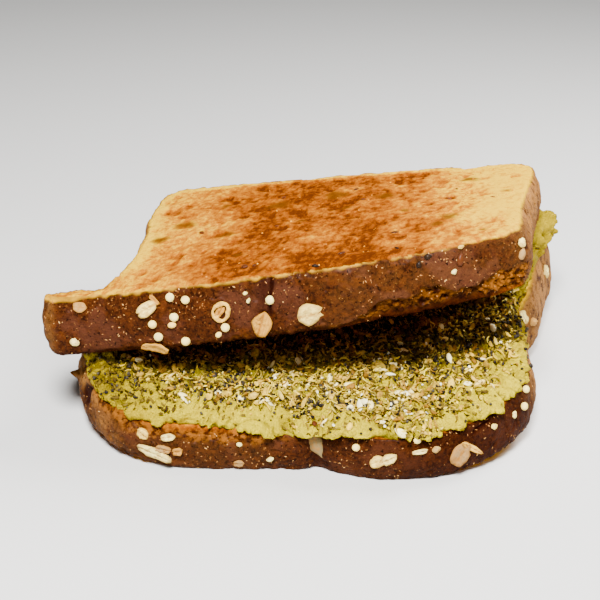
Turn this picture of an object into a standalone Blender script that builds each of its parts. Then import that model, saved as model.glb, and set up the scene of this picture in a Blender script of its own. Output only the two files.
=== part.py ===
"""Avocado toast sandwich: two slices of seeded toast with a layer of avocado spread between them.

Run with: blender --background --python part.py
Units are metres in the scene. The sizes below are in millimetres and are turned into metres at the end.

The lower slice lies on its flat middle, with its left and right edges curled up. The upper slice lies
further back on the spread. It leans on its left edge and on a thick heap of spread at the back right,
so that its right front corner stands open. The crown, the slice's domed side, faces -Y on both slices.
"""

import bpy
from mathutils import Vector
from mathutils.geometry import delaunay_2d_cdt

MM = 0.001

# Sizes shared by both slices.
AROUND = 4  # points for each stretch between two outline corners
EDGE_ROUND = 0.9  # how far the rounded edge of a slice draws in at its two faces
CRUST_BULGE = 0.5  # how far the middle of the crust stands out between the two faces
FACE_GRID = 6.0  # spacing of the points inside a face

# The lower slice. The outline is its underside's, counter-clockwise seen from above.
LOWER_THICK = 10.2
LOWER_CURL_RISE = 4.6  # how high the side edges curl up
LOWER_CURL_FROM = 20.0  # half width of the flat middle
LOWER_CURL_REACH = 32.0  # from the end of the flat middle to the raised edge
LOWER_MIDDLE_X = 3.0
LOWER_OUTLINE = [
    (8.4, -51.8),  # the split between the two lobes of the crown
    (12.4, -53.8),
    (21.0, -55.4),
    (33.0, -53.4),
    (45.0, -46.4),
    (52.4, -36.5),
    (54.6, -25.0),  # right ear of the crown
    (53.4, -9.0),
    (52.4, 0.0),  # right waist
    (55.6, 10.0),
    (57.6, 26.0),
    (59.4, 38.0),
    (59.0, 43.0),
    (54.0, 46.0),  # right corner of the base
    (38.0, 45.0),
    (8.0, 45.2),
    (-22.0, 44.4),
    (-41.5, 42.4),
    (-47.0, 36.5),  # left corner of the base
    (-47.6, 20.0),
    (-45.4, 4.0),
    (-45.0, -4.0),  # left waist
    (-48.0, -14.0),
    (-51.0, -25.0),  # left ear of the crown
    (-48.8, -36.0),
    (-43.0, -46.6),
    (-34.0, -54.0),
    (-22.0, -56.2),
    (-9.0, -55.2),
    (4.0, -53.6),
]

# The upper slice. The outline is its top face's, seen from above, and the heights are at its four corners.
UPPER_THICK = 13.6
UPPER_FRONT_Y = -40.0
UPPER_BACK_Y = 44.0
UPPER_LEFT_X = -42.0
UPPER_RIGHT_X = 52.0
UPPER_FRONT_LEFT = 33.6
UPPER_FRONT_RIGHT = 51.2
UPPER_BACK_LEFT = 28.6
UPPER_BACK_RIGHT = 39.8
UPPER_EAR_RISE = 1.0  # how far the left ear bends up
UPPER_EAR_DROOP = 2.6  # how far the back of the left ear rounds down
UPPER_EAR_FROM = -39.0
UPPER_EAR_TO = -52.0
UPPER_EAR_FRONT_Y = -42.5
UPPER_EAR_BACK_Y = -34.0
UPPER_OUTLINE = [
    (-51.8, -42.8),  # left ear, front corner
    (-40.0, -43.8),
    (-26.0, -45.2),
    (-6.0, -45.0),
    (12.0, -44.0),
    (28.0, -41.2),
    (40.0, -36.8),
    (46.8, -32.8),  # right front corner
    (49.0, -27.4),
    (49.4, -10.0),
    (51.2, 10.0),
    (52.8, 28.0),
    (52.6, 38.0),
    (48.8, 43.2),  # right corner of the base
    (41.0, 43.6),
    (36.4, 40.8),  # notch in the base
    (31.6, 44.0),
    (14.0, 43.6),
    (-10.0, 42.4),
    (-32.0, 41.0),
    (-42.0, 38.4),
    (-44.6, 32.0),  # left corner of the base
    (-43.8, 14.0),
    (-41.0, -2.0),
    (-39.8, -18.0),  # left waist
    (-40.0, -29.0),
    (-41.6, -34.0),
    (-46.0, -35.2),
    (-51.4, -34.8),
    (-54.2, -38.6),  # left ear
]

# The avocado spread on the lower slice.
SPREAD_THICK = 2.4
SPREAD_GAP = 0.4  # to the lower slice
SPREAD_TOP_GAP = 0.5  # to the upper slice
SPREAD_DRAW_IN = 0.2  # how far the spread's outline stays inside the slice's top face
SPREAD_LEFT_EXTRA = 0.6  # more of the slice's rim shows on the left
SPREAD_LEFT_RISE = 3.0
SPREAD_RIDGE_RISE = 2.6  # the ridge along the right edge
SPREAD_RIDGE_X = 48.0
SPREAD_RIDGE_WIDTH = 5.0
SPREAD_HEAP_RISE = 22.0  # what carries the upper slice at the back, cut off by that slice's underside
SPREAD_HEAP_FROM = 2.0
SPREAD_HEAP_TO = 30.0
SPREAD_GRID = 4.0  # spacing of the points inside its faces
SPREAD_HEAP_BULGE = 3.4  # how far the heap is pressed out past the lower slice at the right


def smooth_step(start, end, value):
    share = min(1.0, max(0.0, (value - start) / (end - start)))
    return share * share * (3.0 - 2.0 * share)


def rounded_outline(corners, steps):
    """A closed smooth curve through the corners, with this many points for each stretch."""
    points = []
    count = len(corners)
    for i in range(count):
        before, start, end, after = (Vector(corners[(i + k) % count]) for k in (-1, 0, 1, 2))
        for step in range(steps):
            t = step / steps
            points.append(
                0.5 * (2 * start + (end - before) * t
                       + (2 * before - 5 * start + 4 * end - after) * t ** 2
                       + (3 * start - before - 3 * end + after) * t ** 3)
            )
    return points


def drawn_in(outline, distance):
    """The outline moved inwards by a distance, along its own normals."""
    count = len(outline)
    moved = []
    for i, point in enumerate(outline):
        along = (outline[(i + 1) % count] - outline[i - 1]).normalized()
        moved.append(point + distance * Vector((-along.y, along.x)))
    return moved


def inside(point, outline):
    """Whether a point lies inside a closed outline."""
    crossings = 0
    for i, end in enumerate(outline):
        start = outline[i - 1]
        if (start.y > point.y) != (end.y > point.y):
            share = (point.y - start.y) / (end.y - start.y)
            crossings += point.x < start.x + share * (end.x - start.x)
    return crossings % 2 == 1


def grid_inside(outline, spacing):
    """Points of a square grid that lie inside the outline and well clear of it."""
    low_x, low_y = (min(point[k] for point in outline) for k in range(2))
    high_x, high_y = (max(point[k] for point in outline) for k in range(2))
    kept = []
    for row in range(int((high_y - low_y) / spacing) + 1):
        for column in range(int((high_x - low_x) / spacing) + 1):
            point = Vector((low_x + (column + 0.5 * (row % 2)) * spacing, low_y + row * spacing))
            clear = min((point - edge).length for edge in outline) > 0.5 * spacing
            if clear and inside(point, outline):
                kept.append(point)
    return kept


def lower_underside(x, y):
    """Height of the lower slice's underside."""
    past_flat = max(0.0, abs(x - LOWER_MIDDLE_X) - LOWER_CURL_FROM)
    return LOWER_CURL_RISE * (past_flat / LOWER_CURL_REACH) ** 2


def upper_top(x, y):
    """Height of the upper slice's top face: a twisted plane through its corners, with a bent left ear."""
    across = (x - UPPER_LEFT_X) / (UPPER_RIGHT_X - UPPER_LEFT_X)
    back = (y - UPPER_FRONT_Y) / (UPPER_BACK_Y - UPPER_FRONT_Y)
    front_edge = UPPER_FRONT_LEFT + (UPPER_FRONT_RIGHT - UPPER_FRONT_LEFT) * across
    back_edge = UPPER_BACK_LEFT + (UPPER_BACK_RIGHT - UPPER_BACK_LEFT) * across
    ear = smooth_step(UPPER_EAR_FROM, UPPER_EAR_TO, x) * smooth_step(0.0, -30.0, y)
    ear *= UPPER_EAR_RISE - UPPER_EAR_DROOP * smooth_step(UPPER_EAR_FRONT_Y, UPPER_EAR_BACK_Y, y)
    return front_edge + (back_edge - front_edge) * back + ear


def off_surface(height, point, distance):
    """The point on a height surface moved this far along the surface's normal."""
    x, y = point
    nudge = 8.0  # wide, so that the crust leans with the slice and not with each dip in it
    slope_x = (height(x + nudge, y) - height(x - nudge, y)) / (2 * nudge)
    slope_y = (height(x, y + nudge) - height(x, y - nudge)) / (2 * nudge)
    normal = Vector((-slope_x, -slope_y, 1.0)).normalized()
    return Vector((x, y, height(x, y))) + distance * normal


def height_above(surface, x, y, distance):
    """Height, straight above x and y, of the face that lies this far off a surface."""
    foot = Vector((x, y))
    for _ in range(4):
        reached = off_surface(surface, foot, distance)
        foot += Vector((x - reached.x, y - reached.y))
    return off_surface(surface, foot, distance).z


def spread_top(x, y):
    """Height of the spread: thin at the front, a ridge on the right and a heap under the upper slice."""
    base = height_above(lower_underside, x, y, LOWER_THICK) + SPREAD_THICK
    left = SPREAD_LEFT_RISE * smooth_step(-30.0, -44.0, x) * smooth_step(-46.0, -34.0, y)
    off_ridge = (x - SPREAD_RIDGE_X) / SPREAD_RIDGE_WIDTH
    ridge = SPREAD_RIDGE_RISE * 2.718 ** (-off_ridge * off_ridge) * smooth_step(-38.0, -24.0, y)
    heap = SPREAD_HEAP_RISE * smooth_step(SPREAD_HEAP_FROM, SPREAD_HEAP_TO, y)
    ceiling = height_above(upper_top, x, y, -UPPER_THICK - SPREAD_TOP_GAP)
    return min(base + left + ridge + heap, ceiling)


def under_middle(shapes):
    """The point on the ground under the middle of all the shapes."""
    points = [point for shape in shapes for ring in shape[0] for point in ring]
    low = [min(point[k] for point in points) for k in range(3)]
    high = [max(point[k] for point in points) for k in range(3)]
    return Vector(((low[0] + high[0]) / 2, (low[1] + high[1]) / 2, 0.0))


def cap(ring, height, spacing):
    """Inner points and triangles of a face that fills a ring. Triangles count the ring's points first."""
    outline = [point.xy for point in ring]
    inner = grid_inside(outline, spacing)
    edges = [(i, (i + 1) % len(ring)) for i in range(len(ring))]
    filled = delaunay_2d_cdt(outline + inner, edges, [], 1, 1e-6)
    triangles = [[filled[3][corner][0] for corner in face] for face in filled[2]]
    return [Vector((point.x, point.y, height(*point))) for point in inner], triangles


def closed_solid(name, shape, origin, color, roughness):
    """A closed mesh from a wall of rings, lowest first, and a filled face at each end of it."""
    rings, underside, top, spacing = shape
    count = len(rings[0])
    points = [point for ring in rings for point in ring]
    faces = []
    for level in range(len(rings) - 1):
        for i in range(count):
            here, beside = level * count + i, level * count + (i + 1) % count
            faces.append((here, beside, beside + count, here + count))
    for level, height, turned in ((0, underside, True), (len(rings) - 1, top, False)):
        inner, triangles = cap(rings[level], height, spacing)
        first_inner = len(points) - count
        points += inner
        for triangle in triangles:
            corners = [i + (level * count if i < count else first_inner) for i in triangle]
            faces.append(corners[::-1] if turned else corners)
    vertices = [(point - origin) * MM for point in points]
    mesh = bpy.data.meshes.new(name)
    mesh.from_pydata([tuple(vertex) for vertex in vertices], [], faces)
    mesh.shade_smooth()
    mesh.set_sharp_from_angle(angle=0.9)
    mesh.validate()
    solid = bpy.data.objects.new(name, mesh)
    bpy.context.scene.collection.objects.link(solid)
    material = bpy.data.materials.new(name)
    material.use_nodes = True
    shader = material.node_tree.nodes["Principled BSDF"]
    shader.inputs["Base Color"].default_value = (*color, 1.0)
    shader.inputs["Roughness"].default_value = roughness
    solid.data.materials.append(material)
    return solid


def slice_shape(outline, surface, low, high):
    """A slice between two distances off a surface: underside, crust and top face."""
    thick = high - low
    inner = drawn_in(outline, EDGE_ROUND)
    nearly = drawn_in(outline, EDGE_ROUND * 0.3)
    bulged = drawn_in(outline, -CRUST_BULGE)
    levels = ((inner, 0.0), (nearly, 0.1), (bulged, 0.35), (bulged, 0.65), (nearly, 0.9), (inner, 1.0))
    rings = [[off_surface(surface, point, low + share * thick) for point in ring] for ring, share in levels]

    def underside(x, y):
        return height_above(surface, x, y, low)

    def top(x, y):
        return height_above(surface, x, y, high)

    return rings, underside, top, FACE_GRID


def lower_slice():
    return slice_shape(rounded_outline(LOWER_OUTLINE, AROUND), lower_underside, 0.0, LOWER_THICK)


def upper_slice():
    return slice_shape(rounded_outline(UPPER_OUTLINE, AROUND), upper_top, -UPPER_THICK, 0.0)


def spread():
    """The spread between the slices, pressed out past the lower one at the back right."""
    rim = drawn_in(rounded_outline(LOWER_OUTLINE, AROUND), EDGE_ROUND)
    face = [off_surface(lower_underside, point, LOWER_THICK).xy for point in rim]
    outline = []
    bulged = []
    for point in drawn_in(face, SPREAD_DRAW_IN):
        left = SPREAD_LEFT_EXTRA * smooth_step(-20.0, -40.0, point.x)
        out = SPREAD_HEAP_BULGE * smooth_step(30.0, 50.0, point.x) * smooth_step(8.0, 30.0, point.y)
        outline.append(point + Vector((left, 0.0)))
        bulged.append(point + Vector((left + out, 0.0)))

    def underside(x, y):
        return height_above(lower_underside, x, y, LOWER_THICK + SPREAD_GAP)

    def between(point, share):
        """The point this share of the way up through the spread."""
        low = underside(*point)
        return Vector((point.x, point.y, low + share * (spread_top(*point) - low)))

    levels = ((outline, 0.0), (bulged, 0.45), (drawn_in(bulged, 0.5), 0.85), (drawn_in(bulged, 1.2), 1.0))
    rings = [[between(point, share) for point in ring] for ring, share in levels]
    return rings, underside, spread_top, SPREAD_GRID


for leftover in list(bpy.data.objects):
    bpy.data.objects.remove(leftover, do_unlink=True)
parts = {"bottom_slice": lower_slice(), "avocado_spread": spread(), "top_slice": upper_slice()}
origin = under_middle(parts.values())
closed_solid("bottom_slice", parts["bottom_slice"], origin, (0.20, 0.07, 0.025), 0.7)
closed_solid("avocado_spread", parts["avocado_spread"], origin, (0.55, 0.50, 0.08), 0.4)
closed_solid("top_slice", parts["top_slice"], origin, (0.60, 0.30, 0.09), 0.75)
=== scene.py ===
# %% [markdown]
# # A sandwich of seeded toast and avocado
# Two slices of toasted seeded bread hold a seasoned avocado spread. The solids of the three layers come from
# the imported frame, and every piece here is built on them: the bread gets its crust, crumb, cracks and torn
# edges, the spread gets its lumps, and thousands of seeds, flakes and shreds are scattered on top.
# All places are in the frame's own space, so nothing has to be fitted afterwards.

# %% Load the frame
import itertools
import math

import bmesh
import bpy
import numpy as np
from mathutils import Matrix, Vector
from mathutils.bvhtree import BVHTree
from mathutils.kdtree import KDTree


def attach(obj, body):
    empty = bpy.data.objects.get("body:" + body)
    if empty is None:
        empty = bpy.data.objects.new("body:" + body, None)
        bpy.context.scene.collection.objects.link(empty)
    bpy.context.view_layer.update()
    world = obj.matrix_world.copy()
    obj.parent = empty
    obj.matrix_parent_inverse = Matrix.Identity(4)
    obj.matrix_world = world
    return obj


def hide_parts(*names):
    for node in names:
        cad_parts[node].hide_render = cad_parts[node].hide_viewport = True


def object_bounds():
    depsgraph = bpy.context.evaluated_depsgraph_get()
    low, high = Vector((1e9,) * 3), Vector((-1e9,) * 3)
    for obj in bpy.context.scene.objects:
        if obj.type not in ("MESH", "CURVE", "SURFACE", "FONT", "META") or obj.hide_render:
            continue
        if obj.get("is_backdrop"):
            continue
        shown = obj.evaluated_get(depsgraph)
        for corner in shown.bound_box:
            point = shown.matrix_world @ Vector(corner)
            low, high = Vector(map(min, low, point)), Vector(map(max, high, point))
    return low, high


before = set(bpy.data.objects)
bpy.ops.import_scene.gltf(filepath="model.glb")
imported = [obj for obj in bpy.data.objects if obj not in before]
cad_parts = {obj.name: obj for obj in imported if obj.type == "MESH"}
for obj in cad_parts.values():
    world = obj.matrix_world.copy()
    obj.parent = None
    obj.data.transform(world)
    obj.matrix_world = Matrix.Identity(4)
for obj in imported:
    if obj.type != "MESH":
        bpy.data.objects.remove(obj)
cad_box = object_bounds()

MM = 0.001
scene = bpy.context.scene
print("nodes:", sorted(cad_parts), "box:", [round(v / MM, 1) for v in cad_box[1] - cad_box[0]], "mm")

# %% [markdown]
# ## The camera
# The sandwich is seen from its open front, a little from the right and from above, through a long lens as a
# food photographer would use. An aim point, a distance and two angles say this better than raw coordinates.

# %% Camera
CAMERA_AIM = Vector((-2.6, -14.8, 25.0)) * MM
CAMERA_DISTANCE = 320 * MM
CAMERA_AZIMUTH = math.radians(8)
CAMERA_ELEVATION = math.radians(24)
CAMERA_LENS = 83.7


def direction(azimuth, elevation):
    """Unit vector from the sandwich towards a place round it; azimuth 0 is in front."""
    level = math.cos(elevation)
    return Vector((math.sin(azimuth) * level, -math.cos(azimuth) * level, math.sin(elevation)))


camera = bpy.data.objects.new("camera", bpy.data.cameras.new("camera"))
camera.data.lens = CAMERA_LENS
camera.data.clip_start = 10 * MM
away = direction(CAMERA_AZIMUTH, CAMERA_ELEVATION)
camera.location = CAMERA_AIM + away * CAMERA_DISTANCE
camera.rotation_euler = away.to_track_quat("Z", "Y").to_euler()
scene.collection.objects.link(camera)
scene.camera = camera
print("camera at", [round(v / MM) for v in camera.location], "mm")

# %% [markdown]
# ## Light and floor
# A soft lamp high in front makes the toasted face glow and leaves the gap under the upper slice dark. A weaker
# one behind on the right lights the right side, and the weakest, in front, opens up the crusts. The floor is
# plain and pale.

# %% Lamps, world and floor
FLOOR_SIZE = 4.0
FLOOR_COLOR = (0.62, 0.61, 0.59)
FLOOR_ROUGHNESS = 0.8
WORLD_STRENGTH = 0.016
LAMPS = {  # azimuth, elevation, distance in metres, size in metres, watts
    "key": (2, 53, 0.60, 0.16, 14.0),
    "side": (118, 50, 0.36, 0.20, 2.3),
    "front": (8, 40, 0.60, 0.20, 0.8),
}

for name, (azimuth, elevation, distance, size, watts) in LAMPS.items():
    lamp = bpy.data.objects.new(name + "_lamp", bpy.data.lights.new(name + "_lamp", "AREA"))
    lamp.data.shape = "DISK"
    lamp.data.size = size
    lamp.data.energy = watts
    towards = direction(math.radians(azimuth), math.radians(elevation))
    lamp.location = towards * distance
    lamp.rotation_euler = towards.to_track_quat("Z", "Y").to_euler()
    scene.collection.objects.link(lamp)

scene.world = bpy.data.worlds.new("studio")
scene.world.use_nodes = True
sky = scene.world.node_tree.nodes["Background"].inputs
sky["Strength"].default_value = WORLD_STRENGTH
sky["Color"].default_value = (1, 1, 1, 1)

floor_mesh = bpy.data.meshes.new("floor")
half = FLOOR_SIZE / 2
floor_corners = [(-half, -half, 0), (half, -half, 0), (half, half, 0), (-half, half, 0)]
floor_mesh.from_pydata(floor_corners, [], [(0, 1, 2, 3)])
floor = bpy.data.objects.new("floor", floor_mesh)
scene.collection.objects.link(floor)
floor_finish = bpy.data.materials.new("floor")
floor_finish.use_nodes = True
floor_inputs = floor_finish.node_tree.nodes["Principled BSDF"].inputs
floor_inputs["Base Color"].default_value = (*FLOOR_COLOR, 1)
floor_inputs["Roughness"].default_value = FLOOR_ROUGHNESS
floor_mesh.materials.append(floor_finish)
floor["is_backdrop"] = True
print(len(LAMPS), "lamps")

# %% [markdown]
# ## Uneven shapes from noise
# Bread and mashed avocado have no straight edge anywhere. A noise function gives every point in space a smooth
# random number; with points in millimetres, its size says how wide the bumps are. Adding a few sizes together,
# each weaker than the last, gives the broken surface of food. The numbers come from a fixed hash, so that the
# sandwich is the same every time.

# %% Noise helpers
HASH_PRIMES = np.array((73856093, 19349663, 83492791))


def noise(points, size, seed=0):
    """A smooth random number between -1 and 1 for each point, with bumps of about this size."""
    scaled = points / size + seed * 17.31
    low = np.floor(scaled).astype(np.int64)
    share = scaled - low
    share = share ** 3 * (share * (share * 6 - 15) + 10)
    total = np.zeros(len(points))
    for corner in itertools.product((0, 1), repeat=3):
        cell = (low + corner) @ HASH_PRIMES
        for _ in range(2):
            cell = ((cell ^ (cell >> 15)) * 1274126177) & 0x7FFFFFFF
        total += np.where(corner, share, 1 - share).prod(axis=1) * (cell / 2 ** 30 - 1)
    return total


def bumps(points, size, height, seed=0, layers=3, fade=0.5):
    """Noise added up over several sizes, each half of the last and weaker."""
    return sum(height * fade ** k * noise(points, size / 2 ** k, seed + 7 * k) for k in range(layers))


def smooth_step(start, end, value):
    share = np.clip((value - start) / (end - start), 0, 1)
    return share * share * (3 - 2 * share)


def dot(value, middle, width):
    """1 at the middle, falling to 0 over about this width."""
    return np.exp(-((value - middle) / width) ** 2)


# %% [markdown]
# ## A fine mesh over each layer
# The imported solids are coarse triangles. A voxel remesh turns a merged copy of each into small even squares,
# which can then be pushed in and out. Only the front, where the crust and the filling are seen closely, is
# divided once more, which saves most of the faces.

# %% Fine copies of the layers
BREAD_VOXEL = 0.62
BREAD_SMOOTHING = 4  # rounds of smoothing after the remesh


def evaluated_mesh(piece):
    """The piece's mesh with its modifiers applied; the modifiers are then removed."""
    graph = bpy.context.evaluated_depsgraph_get()
    made = bpy.data.meshes.new_from_object(piece.evaluated_get(graph))
    piece.modifiers.clear()
    old = piece.data
    piece.data = made
    bpy.data.meshes.remove(old)
    made.name = piece.name


def fine_copy(node, name, voxel, smoothing):
    """A new object with an even mesh of this voxel size over a CAD node."""
    shape = bmesh.new()
    shape.from_mesh(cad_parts[node].data)
    bmesh.ops.remove_doubles(shape, verts=shape.verts, dist=0.001 * MM)
    mesh = bpy.data.meshes.new(name)
    shape.to_mesh(mesh)
    shape.free()
    piece = bpy.data.objects.new(name, mesh)
    scene.collection.objects.link(piece)
    remesh = piece.modifiers.new("remesh", "REMESH")
    remesh.mode = "VOXEL"
    remesh.voxel_size = voxel * MM
    smooth = piece.modifiers.new("smooth", "SMOOTH")
    smooth.factor = 0.5
    smooth.iterations = smoothing
    evaluated_mesh(piece)
    return piece


def places(mesh):
    """The vertices' places in millimetres."""
    found = np.empty(len(mesh.vertices) * 3, np.float32)
    mesh.vertices.foreach_get("co", found)
    return found.reshape(-1, 3).astype(float) / MM


def normals(mesh):
    found = np.empty(len(mesh.vertices) * 3, np.float32)
    mesh.vertex_normals.foreach_get("vector", found)
    return found.reshape(-1, 3).astype(float)


def move_to(mesh, points):
    mesh.vertices.foreach_set("co", (points * MM).astype(np.float32).ravel())
    mesh.update()


def divide(piece, chosen):
    """Divides the faces whose corners are all chosen once more."""
    shape = bmesh.new()
    shape.from_mesh(piece.data)
    shape.verts.ensure_lookup_table()
    faces = [face for face in shape.faces if all(chosen[corner.index] for corner in face.verts)]
    edges = list({edge for face in faces for edge in face.edges})
    bmesh.ops.subdivide_edges(shape, edges=edges, cuts=1, use_grid_fill=True)
    shape.to_mesh(piece.data)
    shape.free()


def keep_values(mesh, name, values):
    """Stores a number for each vertex, which the materials and the scattering read."""
    layer = mesh.attributes.new(name, "FLOAT", "POINT")
    layer.data.foreach_set("value", np.asarray(values, np.float32))


bread = {
    "lower": fine_copy("bottom_slice", "bottom_toast", BREAD_VOXEL, BREAD_SMOOTHING),
    "upper": fine_copy("top_slice", "top_toast", BREAD_VOXEL, BREAD_SMOOTHING),
}
FRONT_CRUST_Y = {"lower": -22.0, "upper": -24.0}
for key, piece in bread.items():
    points, facing = places(piece.data), normals(piece.data)
    upright = (np.abs(facing[:, 2]) < 0.8) & (facing[:, 1] < 0.3)
    divide(piece, (points[:, 1] < FRONT_CRUST_Y[key]) & upright)
    print(piece.name, len(piece.data.polygons), "faces")

# %% [markdown]
# ## Knowing crust from crumb
# Every later step needs to know where a point lies on its slice: on the crust or on a cut face, how far up the
# crust, and how far from the edge. The two cut faces are smooth, so a polynomial fitted to each gives its
# height anywhere, also just outside it, and a share between the two heights says how high a crust point is.

# %% Where each point lies on its slice
POWERS = [(i, j) for i in range(5) for j in range(5 - i)]
HALF_SLICE = 50  # brings the places near 1, which a fit needs


def fitted_height(points):
    """Coefficients of a height surface through the points."""
    across, along = points[:, 0] / HALF_SLICE, points[:, 1] / HALF_SLICE
    terms = np.stack([across ** i * along ** j for i, j in POWERS], axis=1)
    return np.linalg.lstsq(terms, points[:, 2], rcond=None)[0]


def height_at(surface, x, y):
    return sum(c * (x / HALF_SLICE) ** i * (y / HALF_SLICE) ** j for c, (i, j) in zip(surface, POWERS))


def slice_facts(piece):
    """For each vertex: place, normal, share up the crust, crust or not, distance from the crust."""
    points, facing = places(piece.data), normals(piece.data)
    top = fitted_height(points[facing[:, 2] > 0.9])
    under = fitted_height(points[facing[:, 2] < -0.9])
    high = height_at(top, points[:, 0], points[:, 1])
    low = height_at(under, points[:, 0], points[:, 1])
    crust = smooth_step(0.86, 0.62, np.abs(facing[:, 2]))
    on_crust = np.flatnonzero(np.abs(facing[:, 2]) < 0.5)[::3]
    tree = KDTree(len(on_crust))
    for i in on_crust:
        tree.insert(points[i], i)
    tree.balance()
    edge = np.array([tree.find(point)[2] for point in points])
    return {"points": points, "facing": facing, "share": (points[:, 2] - low) / (high - low), "crust": crust,
            "edge": edge, "top": top, "under": under, "thick": high - low}


facts = {key: slice_facts(piece) for key, piece in bread.items()}
for key, found in facts.items():
    print(key, "slice is", round(float(np.median(found["thick"])), 1), "mm thick, measured upright")

# %% [markdown]
# ## Shader helpers
# A material is a small tree of nodes. Two helpers keep the cells short: one adds a node with its inputs, the
# other wraps a tree that several materials share into a group. All patterns read the piece's own Object
# coordinates, turned into millimetres, so their sizes are true sizes.

# %% Shader helpers


def feed(tree, node, inputs):
    """Sets a node's inputs, each to a number, a colour or another node's output."""
    for key, value in inputs.items():
        if isinstance(value, bpy.types.NodeSocket):
            tree.links.new(value, node.inputs[key])
        else:
            node.inputs[key].default_value = value


def add(tree, kind, inputs=None, **settings):
    """A new node with its settings and inputs."""
    node = tree.nodes.new(kind)
    for key, value in settings.items():
        setattr(node, key, value)
    feed(tree, node, inputs or {})
    return node


def math_node(tree, operation, first, second=0.0):
    node = add(tree, "ShaderNodeMath", {0: first, 1: second}, operation=operation)
    return node.outputs[0]


def blended(tree, share, first, second, kind="MIX"):
    """First colour where the share is 0, second where it is 1."""
    node = add(tree, "ShaderNodeMix", {0: share, 6: first, 7: second}, data_type="RGBA", blend_type=kind)
    return node.outputs[2]


def stretched(tree, value, low, high, to_low=0.0, to_high=1.0):
    """The value's range from low to high stretched to another range, with soft ends."""
    ranges = {"Value": value, "From Min": low, "From Max": high, "To Min": to_low, "To Max": to_high}
    return add(tree, "ShaderNodeMapRange", ranges, interpolation_type="SMOOTHSTEP").outputs["Result"]


def kept(tree, name):
    """The number that the mesh keeps under this name."""
    return add(tree, "ShaderNodeAttribute", attribute_name=name).outputs["Fac"]


def shader_group(name, inputs, outputs):
    """An empty group with named number, vector or colour sockets, and its two end nodes."""
    tree = bpy.data.node_groups.new(name, "ShaderNodeTree")
    for label, kind, start in inputs:
        socket = tree.interface.new_socket(label, in_out="INPUT", socket_type="NodeSocket" + kind)
        if start is not None:
            socket.default_value = start
    for label, kind in outputs:
        tree.interface.new_socket(label, in_out="OUTPUT", socket_type="NodeSocket" + kind)
    return tree, tree.nodes.new("NodeGroupInput").outputs, tree.nodes.new("NodeGroupOutput").inputs


def grouped(tree, group, inputs):
    """A group placed in a material, with this material's own values."""
    node = tree.nodes.new("ShaderNodeGroup")
    node.node_tree = group
    feed(tree, node, inputs)
    return node.outputs


def finish_named(name, roughness, settings=None):
    """A material with its tree, its Principled BSDF and its coordinates in millimetres."""
    material = bpy.data.materials.new(name)
    material.use_nodes = True
    tree = material.node_tree
    shader = tree.nodes["Principled BSDF"]
    shader.inputs["Roughness"].default_value = roughness
    for key, value in (settings or {}).items():
        shader.inputs[key].default_value = value
    place = add(tree, "ShaderNodeMapping", {"Vector": add(tree, "ShaderNodeTexCoord").outputs["Object"],
                                            "Scale": (1 / MM,) * 3})
    return material, tree, shader, place.outputs[0]


def bumped(tree, shader, height, depth):
    """Feeds a height, in shares of this depth in millimetres, to the shader's normal."""
    node = add(tree, "ShaderNodeBump", {"Height": height, "Distance": depth * MM, "Strength": 1.0})
    tree.links.new(node.outputs[0], shader.inputs["Normal"])


# Soft patches of a given size, as a mask.
MOTTLE_INPUTS = [("Place", "Vector", None), ("Size", "Float", 3.0), ("Low", "Float", 0.4), ("High", "Float", 0.6)]
mottle, given, out = shader_group("Mottle", MOTTLE_INPUTS, [("Mask", "Float")])
cloud = add(mottle, "ShaderNodeTexNoise", {"Vector": given["Place"], "Detail": 4.0, "Roughness": 0.6,
                                           "Scale": math_node(mottle, "DIVIDE", 1.0, given["Size"])})
mottle.links.new(stretched(mottle, cloud.outputs["Fac"], given["Low"], given["High"]), out["Mask"])

# Fine relief: grains over wider unevenness, between 0 and 1.
GRAIN_INPUTS = [("Place", "Vector", None), ("Size", "Float", 0.5)]
grain, given, out = shader_group("Grain", GRAIN_INPUTS, [("Height", "Float")])
fine = add(grain, "ShaderNodeTexNoise", {"Vector": given["Place"], "Detail": 5.0, "Roughness": 0.7,
                                         "Scale": math_node(grain, "DIVIDE", 1.0, given["Size"])})
grain.links.new(fine.outputs["Fac"], out["Height"])
print("groups:", [group.name for group in (mottle, grain)])

# %% [markdown]
# ## Toast: one recipe, two slices
# Toasted bread is pale gold where it hardly browned, orange-brown where it did, and almost chocolate on the
# crust. The mesh says how toasted each point is, whether it is crust or torn crumb, where it is burnt or darkened
# as painted shade, and where a painted highlight runs along the rim; the material turns those numbers into
# colours and adds the patches, the dull bloom, tinted as a painted sheen, and the light and dark grit that are
# too fine for the mesh. Both slices share the recipe, and each has its own crust colours.

# %% Toasted bread
FLOURY_CRUMB = (0.92, 0.53, 0.003, 1)
PALE_CRUMB = (0.80, 0.38, 0.001, 1)
GOLDEN_CRUMB = (0.54, 0.172, 0.0005, 1)
BROWN_CRUMB = (0.28, 0.061, 0.0003, 1)
DARK_CRUMB = (0.10, 0.019, 0.0003, 1)
TORN_LIGHT = (0.29, 0.092, 0.007, 1)
TORN_DARK = (0.036, 0.0070, 0.0005, 1)
LIGHT_CRUST = (0.50, 0.215, 0.045, 1)
# Burnt crust, also the colour of painted shade in cracks, the split, the torn step and under the front edge
BURNT_AND_SHADE_COLOUR = (0.016, 0.0016, 0.0002, 1)
GRIT_LIGHT = (0.36, 0.150, 0.030, 1)
GRIT_DARK = (0.006, 0.0014, 0.0002, 1)
# Colour of the painted highlight on the rim between a cut face and the crust
PAINTED_RIM_HIGHLIGHT = (0.85, 0.42, 0.010, 1)
BLOTCH = (0.135, 0.038, 0.0004, 1)


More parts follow.
